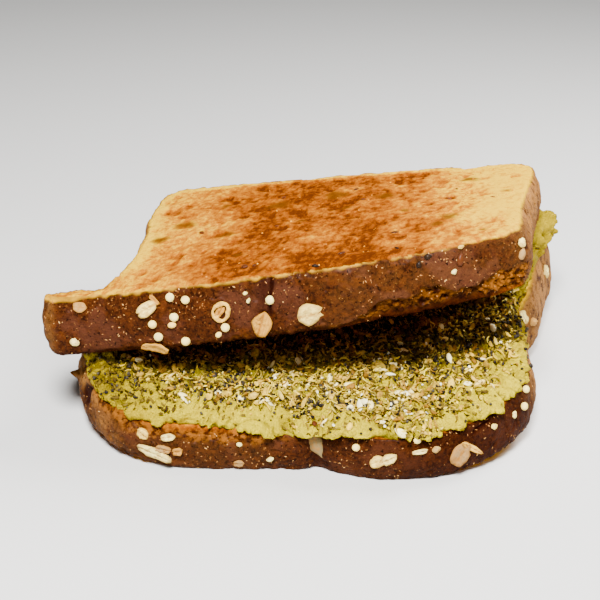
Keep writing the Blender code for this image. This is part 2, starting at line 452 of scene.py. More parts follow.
def toast_finish(name, deep, middle, warm, bloom_and_sheen):
    """Toasted bread with these four crust colours, from the darkest to the dull bloom over it, tinted as a
    painted sheen.
    """
    material, tree, shader, place = finish_named(name, 0.72, {"Specular IOR Level": 0.02, "Coat Roughness": 0.30})

    def masked(size, low, high, strength):
        mask = grouped(tree, mottle, {"Place": place, "Size": size, "Low": low, "High": high})["Mask"]
        return math_node(tree, "MULTIPLY", mask, strength)

    crust = blended(tree, masked(0.9, 0.34, 0.60, 1.0), deep, middle)
    crust = blended(tree, masked(3.0, 0.50, 0.70, 0.55), crust, warm)
    # The dull bloom, whose grey-violet tint is partly a painted sheen
    crust = blended(tree, masked(10.0, 0.48, 0.62, 0.80), crust, bloom_and_sheen)
    side = math_node(tree, "MULTIPLY", kept(tree, "light"), masked(2.6, 0.30, 0.55, 1.0))
    crust = blended(tree, side, crust, LIGHT_CRUST)
    crust = blended(tree, masked(0.5, 0.60, 0.74, 0.55), crust, GRIT_LIGHT)
    crust = blended(tree, masked(0.7, 0.42, 0.34, 0.9), crust, GRIT_DARK)

    along = add(tree, "ShaderNodeMapping", {"Vector": place, "Scale": (1.0, 0.55, 1.0)}).outputs[0]
    streaks = grouped(tree, grain, {"Place": along, "Size": 1.3})["Height"]
    mottled = stretched(tree, streaks, 0.3, 0.7, -0.22, 0.22)
    toasted = math_node(tree, "ADD", kept(tree, "toasted"), mottled)
    colours = add(tree, "ShaderNodeValToRGB", {"Fac": toasted})
    ramp = colours.color_ramp
    ramp.elements[0].position, ramp.elements[0].color = 0.0, FLOURY_CRUMB
    ramp.elements[1].position, ramp.elements[1].color = 1.0, DARK_CRUMB
    for position, colour in ((0.18, PALE_CRUMB), (0.42, GOLDEN_CRUMB), (0.74, BROWN_CRUMB)):
        ramp.elements.new(position).color = colour

    crumb = blended(tree, kept(tree, "blotch"), colours.outputs["Color"], BLOTCH)
    colour = blended(tree, kept(tree, "crust"), crumb, crust)
    # Painted highlight along the rim
    colour = blended(tree, kept(tree, "rim"), colour, PAINTED_RIM_HIGHLIGHT)
    torn = blended(tree, masked(1.4, 0.38, 0.60, 1.0), TORN_DARK, TORN_LIGHT)
    colour = blended(tree, kept(tree, "torn"), colour, torn)
    # Burnt spots, and painted shade in cracks, the split, the torn step and under the front edge
    colour = blended(tree, kept(tree, "burnt"), colour, BURNT_AND_SHADE_COLOUR)
    tree.links.new(colour, shader.inputs["Base Color"])
    tree.links.new(stretched(tree, kept(tree, "crust"), 0, 1, 0.9, 0.6), shader.inputs["Roughness"])
    tree.links.new(math_node(tree, "MULTIPLY", kept(tree, "crust"), 0.02), shader.inputs["Coat Weight"])
    fine_grit = grouped(tree, grain, {"Place": place, "Size": 0.30})["Height"]
    wide_grit = grouped(tree, grain, {"Place": place, "Size": 1.1})["Height"]
    bumped(tree, shader, math_node(tree, "ADD", fine_grit, math_node(tree, "MULTIPLY", wide_grit, 2.2)), 0.45)
    return material


toast = {
    "upper": toast_finish("upper_toast", (0.022, 0.0048, 0.0008, 1), (0.064, 0.0155, 0.0028, 1),
                          (0.125, 0.030, 0.004, 1), (0.080, 0.0240, 0.0105, 1)),
    "lower": toast_finish("lower_toast", (0.016, 0.0034, 0.0006, 1), (0.056, 0.0135, 0.0024, 1),
                          (0.106, 0.025, 0.004, 1), (0.074, 0.0205, 0.0070, 1)),
}
print("bread finishes:", [material.name for material in toast.values()])

# %% [markdown]
# ## Shaping the upper slice
# Its crust has soft dents and fine roughness. Its faces have open pores that run along the slice, darkened as
# painted shade. At the right a piece of crust has torn off below an irregular line, which leaves a step with
# rough crumb under it and a painted shadow over that crumb. A crack is a narrow dent with a painted shadow
# beside it, and the face dips behind the left ear of the crown. The underside just behind the front edge is
# darkened as painted shade, and a painted highlight runs along the front rim. Numbers for how toasted, torn,
# burnt or in painted shade each point is are stored along with the shape, since they follow the same lines.

# %% Crumb and crust
CRUST_SWELL = 0.4  # makes up for what the smoothing took off the corners


def crumb_pores(points):
    """Open pores of a cut face, 0 where there is none."""
    wide = np.clip(noise(points * (1.0, 0.5, 1.0), 2.4, 11) - 0.30, 0, None)
    small = np.clip(noise(points * (1.0, 0.6, 1.0), 1.25, 12) - 0.25, 0, None)
    return 1.4 * wide + 0.8 * small


def crust_relief(points, seed):
    """Soft dents, roughness and a net of fine wrinkles in some places."""
    wrinkled = smooth_step(0.0, 0.35, noise(points, 14, seed + 3))
    wrinkles = np.clip(1 - np.abs(noise(points, 4.0, seed + 4)) / 0.09, 0, 1) * wrinkled
    pits = np.clip(noise(points, 1.5, seed + 5) - 0.45, 0, None)
    dents = CRUST_SWELL + bumps(points, 9, 0.32, seed) + bumps(points, 1.8, 0.16, seed + 1, 2)
    return dents + bumps(points, 0.7, 0.05, seed + 2, 1) - 0.28 * wrinkles - 0.7 * pits


def finish_slice(key, points, **shades):
    """Moves a slice's points, gives it its finish and stores the numbers that the finish reads."""
    piece = bread[key]
    move_to(piece.data, points)
    piece.data.materials.clear()
    piece.data.materials.append(toast[key])
    piece.data.shade_smooth()
    for name, values in {"crust": facts[key]["crust"], **shades}.items():
        keep_values(piece.data, name, np.clip(values, 0, 1))


def side_lightness(found):
    """The sides of a loaf stay lighter than its crown."""
    points = found["points"]
    return found["crust"] * smooth_step(-34, -6, points[:, 1]) * (0.75 + 0.3 * noise(points, 8, 91))


def bright_rim(found):
    """A painted highlight on the thin edge between a cut face and the crust, where it catches the light."""
    near = smooth_step(0.9, 0.3, np.where(found["crust"] > 0.5, 0, found["edge"]))
    high = smooth_step(0.93, 0.99, found["share"] + 0.03 * noise(found["points"], 1.5, 92))
    return near * high


# %% Lines and spots of the upper slice
# The tear, the crack and most of the blotches follow places measured beforehand by another script.
TEAR_X = [11.0, 16.5, 19.5, 24.0, 26.0, 30.0, 33.0, 38.0, 43.0, 50.0]  # along the front of the crust
TEAR_SHARE = [0.0, 0.26, 0.36, 0.31, 0.42, 0.40, 0.28, 0.34, 0.46, 0.42]  # how far up the crust it is torn
TEAR_DEPTH = 1.1
TEAR_LIFT = 1.3  # how far the lower edge is torn away
CRACK_X = -5.0
NOTCH = (-45.2, -30.0)  # behind the ear, where the face dips
NOTCH_DEPTH = 1.4
BLOTCHES = [  # dark spots of the toasted face: place and radius
    (-34.1, 9.3, 2.6), (-22.2, -2.9, 2.1), (-12.6, 20.4, 3.0), (0.8, 25.9, 3.2), (13.5, 21.3, 2.6),
    (27.8, -13.1, 1.6), (30.2, -6.7, 2.4), (34.1, 31.6, 2.6), (-38.3, -1.5, 2.2), (-5.0, 3.0, 1.1),
    (19.5, 4.0, 1.3), (5.0, 12.0, 1.2), (-27.0, 24.0, 1.6), (43.0, 14.0, 1.5), (-16.0, -20.0, 1.0),
    (38.0, -22.0, 1.1),
]
print("tear from x =", TEAR_X[0], "to", TEAR_X[-1], "mm,", len(BLOTCHES), "dark spots")

# %% Relief of the upper slice
found = facts["upper"]
points, facing, share, crust = (found[k].copy() for k in ("points", "facing", "share", "crust"))
x, y = points[:, 0], points[:, 1]
front = smooth_step(0.1, -0.4, facing[:, 1])

pores = crumb_pores(points) * (1 - crust) * smooth_step(0.3, 1.6, found["edge"])
relief = crust * crust_relief(points, 1) + (1 - crust) * bumps(points, 7, 0.22, 3) - 0.45 * pores

line = np.interp(x, TEAR_X, TEAR_SHARE) + 0.05 * noise(points, 1.3, 21)
torn = crust * front * smooth_step(line + 0.035, line - 0.035, share) * smooth_step(10, 14, x)
relief -= torn * (TEAR_DEPTH + bumps(points, 2.2, 0.75, 22, 4, 0.7))
lifted = front * smooth_step(12, 20, x) * smooth_step(0.4, 0.0, share)
points[:, 2] += lifted * (TEAR_LIFT + 0.7 * noise(points, 1.6, 23))

jag = smooth_step(0.13, 0.02, share + 0.04 * noise(points, 1.5, 26)) * front * crust
points[:, 2] += jag * np.clip(0.35 + bumps(points, 1.7, 0.7, 24, 2), 0, 1.1)
# The crack's dent is darkened as painted shade
crack = front * crust * dot(x, CRACK_X + 0.5 * noise(points, 3.0, 25), 0.45) * smooth_step(0.30, 0.42, share)
relief -= 0.8 * crack
# Painted shadow beside the crack
crack_shade = front * crust * dot(x, CRACK_X - 1.6 + 0.6 * noise(points, 1.5, 27), 1.6)
crack_shade *= smooth_step(0.25, 0.7, share)

points += facing * relief[:, None]
points[:, 2] -= NOTCH_DEPTH * dot(x, NOTCH[0], 3.2) * dot(y, NOTCH[1], 3.6) * smooth_step(0.2, 0.9, share)
print("upper slice torn over", int(torn.sum()), "points")

# %% Browning of the upper slice
middle = smooth_step(-36, -14, x) * smooth_step(38, 18, x)
toasted = 0.25 + 0.40 * middle * (1 - 0.2 * smooth_step(-30, 40, y)) + 0.16 * dot(y, -32, 12) * middle
toasted += 0.20 * dot(x, -16, 22) * dot(y, 27, 16) - 0.27 * smooth_step(14, 42, x) * smooth_step(-26, 20, y)
lively = 0.35 + 0.65 * smooth_step(-34, -18, x)
toasted += lively * bumps(points * (1.0, 0.55, 1.0), 8, 0.22, 31, 5, 0.75)
toasted -= 0.5 * smooth_step(5.0, 0.5, found["edge"]) * smooth_step(-30, -20, y)
under_edge = smooth_step(6.0, 2.0, found["edge"])
# Painted shade on the underside just behind the front edge, which faces down
painted_shade_under_front = smooth_step(4.0, 1.5, found["edge"]) * smooth_step(-0.15, -0.5, facing[:, 2])
painted_shade_under_front *= smooth_step(-26, -34, y)
painted_shade_under_front *= 0.8 - 0.45 * smooth_step(40, 46, x)
# Painted shadow over the torn crumb under the step of the crust
torn_shade = 0.55 * torn * smooth_step(44, 36, x)
toasted = np.where(facing[:, 2] > 0, toasted, 0.45 + 0.5 * under_edge + bumps(points, 9, 0.3, 32, 4))
pale_front = crust * np.maximum(0.2 * smooth_step(-52.0, -54.5, x), 0.04 * front * smooth_step(-2, 12, x))
blotch = np.zeros(len(x))
for spot_x, spot_y, radius in BLOTCHES:
    away_from_spot = np.hypot(x - spot_x, (y - spot_y) * 0.8) / radius + 0.35 * noise(points, 1.8, 94)
    blotch = np.maximum(blotch, 0.9 * smooth_step(1.35, 0.3, away_from_spot) * (facing[:, 2] > 0))
# Painted highlight along the front rim of the face
rim = bright_rim(found) * smooth_step(38, 24, x) * (y < 0) * (0.7 + 0.5 * noise(points, 2.2, 93))
# The pores are added to the toasting, which darkens them as painted shade
finish_slice("upper", points, toasted=toasted + 0.45 * pores, torn=np.maximum(torn, 0.3 * jag),
             burnt=np.maximum(0.8 * crack + 0.7 * crack_shade, np.maximum(painted_shade_under_front, torn_shade)),
             light=np.maximum(side_lightness(found), pale_front), blotch=blotch, rim=rim)
print("blotches cover", int(blotch.sum()), "points")

# %% [markdown]
# ## Shaping the lower slice
# Its crown has two lobes with a split between them. The shoulder of the left lobe is rounded down and its rim
# worn to the crumb. On the left a bubble has burst and burnt, and a small nub stands out; a short crack runs near
# the top of the right side, and the back right corner curls up. The crack, the split and the pores are darkened
# as painted shade, the front grows darker towards the right, and the worn left end is painted lighter where
# the upper slice shades it.

# %% Spots of the lower slice
# The bubble, the nub and the crack follow places measured beforehand by another script.
SHOULDER_DROP = 1.5
BUBBLE = (-47.1, -36.9, 9.1)
BUBBLE_SIZE = (3.4, 3.4, 2.2)  # its reach along each axis
NUB = (-51.0, -28.8, 9.6)  # a crumb that stands out on the left
NUB_LENGTH = 2.2
NUB_RADIUS = 0.85
RIGHT_LIP = 6.5  # how far the back right corner curls up
CRACK_FROM, CRACK_TO = (38.0, 0.80), (42.0, 0.86)  # x and share up the crust
SPLIT_X = 5.5
PALE_SPOT = (-41.0, -45.0, 6.5)  # a paler place on the front left
PALE_SPOT_RADIUS = 5.5


def shoulder(x, from_edge):
    """How far the rim of the lower slice's left lobe is rounded down."""
    return SHOULDER_DROP * smooth_step(5.0, 0.0, from_edge) * smooth_step(-46, -40, x) * smooth_step(8, -2, x)


print("rim rounded down by", SHOULDER_DROP, "mm, corner curled up by", RIGHT_LIP, "mm")

# %% Relief and browning of the lower slice
found = facts["lower"]
points, facing, share, crust = (found[k].copy() for k in ("points", "facing", "share", "crust"))
x, y = points[:, 0], points[:, 1]
front = smooth_step(0.1, -0.4, facing[:, 1])
pores = crumb_pores(points) * (1 - crust) * smooth_step(0.3, 1.6, found["edge"])
relief = crust * crust_relief(points, 41) + (1 - crust) * bumps(points, 7, 0.22, 43) - 0.7 * pores
burst = points[((points - BUBBLE) ** 2).sum(axis=1).argmin()]
bubble = np.exp(-(((points - burst) / BUBBLE_SIZE) ** 2).sum(axis=1) ** 2)
relief -= 1.3 * bubble
stem = points[((points - NUB) ** 2).sum(axis=1).argmin()]
relief += NUB_LENGTH * np.exp(-((points - stem) ** 2).sum(axis=1) / NUB_RADIUS ** 2)
along = (x - CRACK_FROM[0]) / (CRACK_TO[0] - CRACK_FROM[0])
height = CRACK_FROM[1] + (CRACK_TO[1] - CRACK_FROM[1]) * along + 0.02 * noise(points, 1.0, 44)
# The crack is darkened further down as painted shade
crack = front * crust * dot(share, height, 0.035) * smooth_step(-0.1, 0.2, along) * smooth_step(1.1, 0.8, along)
relief -= 0.7 * crack
# The split between the lobes is darkened further down as painted shade
split = dot(x, SPLIT_X, 1.6) * front * crust
# Paler crust at the left end: worn tan crumb, and painted light where the upper slice shades it
tan_and_painted_light = smooth_step(-40, -44, x) * smooth_step(7.5, 10.5, points[:, 2]) * smooth_step(-5, -20, y)
tan_and_painted_light *= 0.8 + 0.4 * noise(points, 3, 47)
worn = smooth_step(0.72, 0.93, share + 0.14 * noise(points, 2.2, 46)) * smooth_step(2, -6, x) * front
# A paler patch on the front left of the crust
pale_spot = np.exp(-((points - PALE_SPOT) ** 2).sum(axis=1) / PALE_SPOT_RADIUS ** 2)
relief -= crust * np.maximum(worn, tan_and_painted_light) * np.clip(bumps(points, 2.0, 0.6, 48, 2), -0.2, 1)
points += facing * relief[:, None]
from_edge = np.where(crust > 0.5, 0.0, found["edge"])
upper_part = smooth_step(0.35, 1.0, share) * (y < 0)
points[:, 2] -= shoulder(x, from_edge) * upper_part
lip = smooth_step(42, 52, x) * smooth_step(-2, 34, y) * smooth_step(0.2, 1.0, share)
points[:, 2] += RIGHT_LIP * lip
toasted = 0.42 + bumps(points, 8, 0.3, 45, 4, 0.7) * smooth_step(46, 34, x) - 0.40 * smooth_step(34, 44, x)
toasted += 0.5 * smooth_step(3.0, 0.0, from_edge) * smooth_step(0, -15, y)
# Burnt bubble, painted shade in the crack and the split, and a front darker towards the right
burnt = 1.5 * bubble + crack + 0.5 * split + 0.5 * smooth_step(12, 40, x) * front
light = np.maximum(0.30 * pale_spot, 0.04 * front * smooth_step(2, -8, x))
light = np.maximum(side_lightness(found), np.maximum(0.8 * tan_and_painted_light, light))
# The pores are added to the toasting, which darkens them as painted shade
finish_slice("lower", points, toasted=toasted + 0.45 * pores, torn=np.maximum(0.85 * worn, 0.3 * tan_and_painted_light * crust),
             burnt=0.97 * np.clip(burnt, 0, 1), light=light, rim=0 * x, blotch=0 * x)
for key, node in (("upper", "top_slice"), ("lower", "bottom_slice")):
    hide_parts(node)
    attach(bread[key], "root")
print("lower slice worn over", int(worn.sum()), "points")

# %% [markdown]
# ## Mashed avocado
# Avocado mashed with a fork is neither smooth nor sharp: soft lumps of several sizes, pushed out over the edge
# of the bread here and there, and hanging over the split in the crown. Its finish is yellow, with greener
# patches, painted shade in the creases, between the lumps and under the overhanging edge, and almost without
# gloss, because herb dust lies over most of it; deep in the gap and on the left the dust colour is painted shade.

# %% Shape of the avocado spread
AVOCADO_VOXEL = 0.66
AVOCADO_SMOOTHING = 3
SPREAD_OVERHANG = 0.9
SPREAD_SAG = 1.2  # how far its edge sinks onto the bread
LEFT_DENT_X = -22  # the middle of a stretch of the front that stays back
SIDE_RETREAT = 0.8  # how far the spread stays inside the bread on the right
FRONT_RETREAT = 1.2  # the same at the front left
BULGE = (54.5, 37.5, 25.0)  # where it is squeezed out at the back right
BULGE_HEIGHT = 0.7
BULGE_RADIUS = 3.2

avocado_piece = fine_copy("avocado_spread", "avocado", AVOCADO_VOXEL, AVOCADO_SMOOTHING)
points, facing = places(avocado_piece.data), normals(avocado_piece.data)
divide(avocado_piece, (points[:, 1] < -4.0) & (facing[:, 2] > -0.35))
points, facing = places(avocado_piece.data), normals(avocado_piece.data)
x, y = points[:, 0], points[:, 1]
wall = smooth_step(0.75, 0.35, np.abs(facing[:, 2]))
top_side = smooth_step(-0.5, 0.1, facing[:, 2])
rim_points = np.flatnonzero(np.abs(facing[:, 2]) < 0.5)[::3]
rim_tree = KDTree(len(rim_points))
for i in rim_points:
    rim_tree.insert(points[i], i)
rim_tree.balance()
spread_edge = np.array([rim_tree.find(point)[2] for point in points])


def billows(points, size, seed):
    """Rounded lumps with creases between them, between -0.5 and 1."""
    return 2.4 * np.abs(noise(points, size, seed)) - 0.5


swirled = points + 1.6 * np.stack([noise(points, 4.5, seed) for seed in (56, 57, 58)], axis=1)
lumps = 0.45 * billows(swirled, 5.5, 51) + 0.95 * billows(swirled, 2.8, 52) + 0.65 * billows(swirled, 1.3, 53)
lumps += 0.30 * noise(points, 0.7, 54)
folds = np.abs(noise(swirled, 3.6, 59))
front_rim = smooth_step(4.5, 1.5, spread_edge) * smooth_step(-22, -32, y)
lumps += front_rim * (1.3 * np.clip(folds / 0.3, 0, 1) - 0.7)
outwards = facing * (1, 1, 0)
over = SPREAD_OVERHANG + 0.9 * np.clip(bumps(swirled * (1, 1, 0.5), 5, 1.0, 55, 4, 0.7), -0.8, 1.2)
over += 2.2 * dot(x, SPLIT_X, 6.0) * (y < -30) + 2.0 * dot(x, -45, 4.0) * dot(y, -40, 5.0)
over -= 1.5 * dot(x, LEFT_DENT_X, 11.0) * (y < -30)
points += facing * (top_side * lumps)[:, None] + outwards * (wall * over * smooth_step(0, -20, y))[:, None]
from_edge = np.where(wall > 0.5, 0.0, spread_edge)
sag = SPREAD_SAG * smooth_step(2.0, 0.0, from_edge) * smooth_step(0.6, -0.4, facing[:, 2])
sag *= 1 - 0.8 * dot(x, LEFT_DENT_X, 11.0)
squeezed = smooth_step(36, 46, x) * smooth_step(7, 15, y)
squeezed *= np.maximum(smooth_step(34, 30, y), smooth_step(25, 22.5, points[:, 2]) * smooth_step(50, 44, y))
points[:, 0] -= SIDE_RETREAT * squeezed
points[:, 1] += FRONT_RETREAT * dot(x, LEFT_DENT_X, 11.0) * smooth_step(-34, -46, y)
points += facing * (BULGE_HEIGHT * np.exp(-((points - BULGE) ** 2).sum(axis=1) / BULGE_RADIUS ** 2))[:, None]
points[:, 2] -= (shoulder(x, from_edge) + sag + 0.9 * wall * dot(x, SPLIT_X, 7.0) * (y < -30)) * (y < 0)
move_to(avocado_piece.data, points)
# Painted shade: the creases between lumps, the folds of the front rim and the underside of the overhang
creases = 0.60 * front_rim * smooth_step(0.08, 0.02, folds)
creases = np.maximum(1.1 * (0.25 - lumps) * (1 - 0.6 * front_rim), creases)
creases = np.maximum(creases, 0.75 * smooth_step(0.0, -0.5, facing[:, 2]) * (y < 0))
keep_values(avocado_piece.data, "creases", np.clip(creases, 0, 0.95))

print("avocado", len(avocado_piece.data.polygons), "faces")

# %% Avocado finish
LEMON = (1.0, 0.77, 0.001, 1)
LEAF = (0.48, 0.32, 0.002, 1)
# Deep green for darker patches of the mash, and for the painted shade in its creases
DEEP_GREEN_AND_SHADE = (0.13, 0.095, 0.0005, 1)
# Herb dust, whose colour also paints shade deep in the gap and on the left
HERB_DUST_AND_SHADE = (0.060, 0.029, 0.003, 1)


def avocado_finish():
    """Yellow mash, greener in patches, with painted shade in its creases and deep in the gap, dusted with herbs.
    """
    material, tree, shader, place = finish_named("avocado", 0.40, {"Specular IOR Level": 0.03})

    def patches(size, low, high):
        return grouped(tree, mottle, {"Place": place, "Size": size, "Low": low, "High": high})["Mask"]

    greener = math_node(tree, "MULTIPLY", patches(7.0, 0.42, 0.66), 0.35)
    colour = blended(tree, math_node(tree, "MAXIMUM", greener, kept(tree, "greener")), LEMON, LEAF)
    colour = blended(tree, math_node(tree, "MULTIPLY", patches(1.3, 0.52, 0.72), 0.14), colour, DEEP_GREEN_AND_SHADE)
    # Painted shade in the creases and under the overhanging edge
    colour = blended(tree, kept(tree, "creases"), colour, DEEP_GREEN_AND_SHADE)
    # Herb dust, and painted shade deep in the gap and on the left
    dust_and_shade = math_node(tree, "MULTIPLY", patches(1.0, 0.28, 0.54), kept(tree, "dust"))
    colour = blended(tree, dust_and_shade, colour, HERB_DUST_AND_SHADE)
    tree.links.new(colour, shader.inputs["Base Color"])
    curds = grouped(tree, grain, {"Place": place, "Size": 0.6})["Height"]
    clots = grouped(tree, grain, {"Place": place, "Size": 1.8})["Height"]
    bumped(tree, shader, math_node(tree, "ADD", curds, math_node(tree, "MULTIPLY", clots, 1.6)), 1.9)
    return material


greener = smooth_step(20, 42, x) * smooth_step(-30, -8, y) + 0.9 * smooth_step(-14, -44, x)
greener = np.clip(greener + smooth_step(-5, 20, y), 0, 1) * 0.9
keep_values(avocado_piece.data, "greener", greener)
avocado_piece.data.materials.clear()
avocado_piece.data.materials.append(avocado_finish())
avocado_piece.data.shade_smooth()
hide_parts("avocado_spread")
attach(avocado_piece, "root")
print("avocado is greener than lemon at", int((greener > 0.5).sum()), "points")

# %% [markdown]
# ## Shapes of seeds and flakes
# Each kind of seasoning starts as a few small meshes, a few dozen faces each, because it will be repeated
# hundreds of times. Four builders cover them all: a chip is a thin, bent, ragged disc, a shred is a thin
# curling strip, a kernel is a rounded body that may be pointed at one end or uneven like a crumb, and a hoop is
# the ring of a husk.

# %% Shape builders


def mesh_from(name, vertices, faces, smooth=True):
    mesh = bpy.data.meshes.new(name)
    mesh.from_pydata([tuple(v) for v in np.asarray(vertices) * MM], [], faces)
    shape = bmesh.new()
    shape.from_mesh(mesh)
    bmesh.ops.recalc_face_normals(shape, faces=shape.faces)
    shape.to_mesh(mesh)
    shape.free()
    if smooth:
        mesh.shade_smooth()
    return mesh


def chip(name, length, width, thick, seed, bend=0.3, ragged=0.18, around=9, rings=2, crease=0.0):
    """A thin uneven disc, bent across and along, with its edge thinner than its middle."""
    chance = np.random.default_rng(seed)
    angles = 2 * math.pi * np.arange(around) / around
    reach = chance.uniform(-1, 1, around)
    reach = 1 + 0.6 * ragged * (reach + np.roll(reach, 1) + 0.4 * np.roll(reach, 2))
    curl_x, curl_y = bend * chance.uniform(0.4, 1.0), bend * chance.uniform(-0.8, 0.8)
    vertices, faces = [], []
    for side in (1, -1):
        vertices.append((0, 0, side * thick / 2 - crease * thick))
        for ring in range(1, rings + 1):
            share = ring / rings
            px = share * reach * np.cos(angles) * length / 2
            py = share * reach * np.sin(angles) * width / 2
            rise = curl_x * (px / length * 2) ** 2 * length / 2 + curl_y * (py / width * 2) ** 2 * width / 2
            rise = rise + (0.12 * bend * length * share + 0.2 * thick) * chance.uniform(-1, 1, around)
            rise = rise - crease * thick * np.exp(-(py / width * 7) ** 2)
            edge = side * thick / 2 * (1 - 0.55 * share ** 3)
            vertices += list(zip(px, py, rise + edge))
    layer = 1 + around * rings
    for side in range(2):
        first = side * layer
        for k in range(around):
            nxt = (k + 1) % around
            faces.append((first, first + 1 + k, first + 1 + nxt))
            for ring in range(rings - 1):
                low = first + 1 + ring * around
                faces.append((low + k, low + around + k, low + around + nxt, low + nxt))
    outer = 1 + around * (rings - 1)
    for k in range(around):
        nxt = (k + 1) % around
        faces.append((outer + k, outer + nxt, layer + outer + nxt, layer + outer + k))
    mesh = mesh_from(name, vertices, faces)
    across = np.abs(np.array(vertices)[:, 1]) / width * 2
    keep_values(mesh, "near_crease", np.clip(1 - across, 0, 1))
    keep_values(mesh, "outer", 2 * ([0] + [ring / rings for ring in range(1, rings + 1) for _ in range(around)]))
    return mesh


def shred(name, length, width, thick, seed, curl=1.6, twist=0.8, steps=5):
    """A thin strip that curls along its length and tapers at both ends."""
    chance = np.random.default_rng(seed)
    turn, roll = curl * chance.uniform(0.3, 1.0), twist * chance.uniform(-1, 1)
    middle, heading, vertices = np.zeros(3), -turn / 2, []
    for step in range(steps + 1):
        share = step / steps
        half_width = width / 2 * (0.35 + 0.65 * math.sin(math.pi * min(max(share, 0.08), 0.92)))
        side = np.array((-math.sin(heading) * math.cos(roll * share), math.cos(heading) * math.cos(roll * share),
                         math.sin(roll * share)))
        lift = np.array((0, 0, thick / 2))
        vertices += [middle + side * half_width + lift, middle - side * half_width + lift,
                     middle - side * half_width - lift, middle + side * half_width - lift]
        heading += turn / steps
        middle = middle + length / steps * np.array((math.cos(heading), math.sin(heading),
                                                     0.35 * math.sin(turn) * (0.5 - share)))
    vertices = np.array(vertices) - np.mean(vertices, axis=0)
    faces = [(0, 1, 2, 3), tuple(range(4 * steps, 4 * steps + 4))]
    for step in range(steps):
        for k in range(4):
            low, beside = 4 * step + k, 4 * step + (k + 1) % 4
            faces.append((low, beside, beside + 4, low + 4))
    return mesh_from(name, vertices, faces)


def kernel(name, length, width, thick, seed, pointed=0.0, uneven=0.05, around=8, rings=5, smooth=True):
    """A rounded body; pointed draws one end out, and uneven pushes its points in and out."""
    chance = np.random.default_rng(seed)
    vertices, faces = [(-length / 2, 0, 0)], []
    for ring in range(1, rings):
        polar = math.pi * ring / rings
        along = -math.cos(polar)
        round_here = math.sin(polar) * (1 - pointed * smooth_step(-0.2, 1.0, along))
        for k in range(around):
            angle = 2 * math.pi * (k + 0.5 * (ring % 2)) / around
            swell = 1 + uneven * chance.uniform(-1, 1)
            vertices.append((along * length / 2 * (1 + 0.3 * uneven * chance.uniform(-1, 1)),
                             swell * round_here * math.cos(angle) * width / 2,
                             swell * round_here * math.sin(angle) * thick / 2))
    vertices.append((length / 2, 0, 0))
    last = len(vertices) - 1
    for k in range(around):
        nxt = (k + 1) % around
        faces += [(0, 1 + k, 1 + nxt), (last, last - around + k, last - around + nxt)]
        for ring in range(rings - 2):
            low = 1 + ring * around
            faces.append((low + k, low + nxt, low + around + nxt, low + around + k))
    return mesh_from(name, vertices, faces, smooth)


def hoop(name, length, width, thick, seed, around=28, section=8):
    """An uneven ring, as a husk leaves when its grain has gone."""
    chance = np.random.default_rng(seed)
    vertices, faces = [], []
    for k in range(around):
        angle = 2 * math.pi * k / around
        fat = thick * (1 + 0.3 * math.sin(3 * angle + seed) + 0.1 * chance.uniform(-1, 1))
        reach = 1 + 0.07 * math.sin(2 * angle + seed) + 0.03 * chance.uniform(-1, 1)
        for m in range(section):
            turn = 2 * math.pi * m / section
            out = reach - fat / length * (1 - math.cos(turn))
            vertices.append((out * math.cos(angle) * length / 2, out * math.sin(angle) * width / 2,
                             fat / 2 * math.sin(turn)))
            beside, above = section * ((k + 1) % around), (m + 1) % section
            faces.append((section * k + m, beside + m, beside + above, section * k + above))
    return mesh_from(name, vertices, faces)


def kind(name, meshes):
    """A collection, kept out of the scene, whose objects the scattering picks from."""
    collection = bpy.data.collections.new(name)
    for mesh in meshes:
        collection.objects.link(bpy.data.objects.new(mesh.name, mesh))
    return collection


# %% Kinds of seasoning
KINDS = {
    "poppy": kind("poppy", [kernel(f"poppy_{i}", 1.05, 0.85, 0.8, i, 0.15, 0.10, 7, 5) for i in range(3)]),
    "sesame": kind("sesame", [kernel(f"sesame_{i}", 2.9, 1.75, 0.85, 10 + i, 0.55, 0.05, 8, 6)
                              for i in range(3)]),
    "garlic": kind("garlic", [kernel(f"garlic_{i}", 1.1 + 0.15 * i, 0.85, 0.65, 20 + i, 0.2, 0.35, 5, 4, False)
                              for i in range(4)]),
    "onion": kind("onion", [chip(f"onion_{i}", 2.6 + 0.4 * i, 1.5 + 0.2 * i, 0.22, 30 + i, 0.45, 0.40)
                            for i in range(4)]),
    "herb": kind("herb", [shred(f"herb_{i}", 1.4 + 0.5 * i, 0.50, 0.14, 40 + i, 0.6 + 0.8 * i)
                          for i in range(5)]),
    "leaf": kind("leaf", [chip(f"leaf_{i}", 1.6 + 0.4 * i, 0.95, 0.10, 50 + i, 0.5, 0.4, 6, 1)
                          for i in range(3)]),
    "salt": kind("salt", [kernel(f"salt_{i}", 0.95, 0.8, 0.6, 60 + i, 0.0, 0.30, 5, 3, False)
                          for i in range(3)]),
    "bran": kind("bran", [chip(f"bran_{i}", 0.75 + 0.25 * i, 0.45, 0.16, 70 + i, 0.2, 0.35, 5, 1)
                          for i in range(3)]),
}
print("kinds:", list(KINDS))

# %% [markdown]
# ## Sprinkling by Geometry Nodes
# One tree sprinkles any kind over any surface. It reads how likely a place is from a number that the surface
# keeps, turns every copy by its own random angles, lifts it a little so that pieces lie on each other, and
# gives each copy a random number of its own, which its material uses as a tint. The copies are made real at
# the end and given their finish.

# %% The sprinkling tree


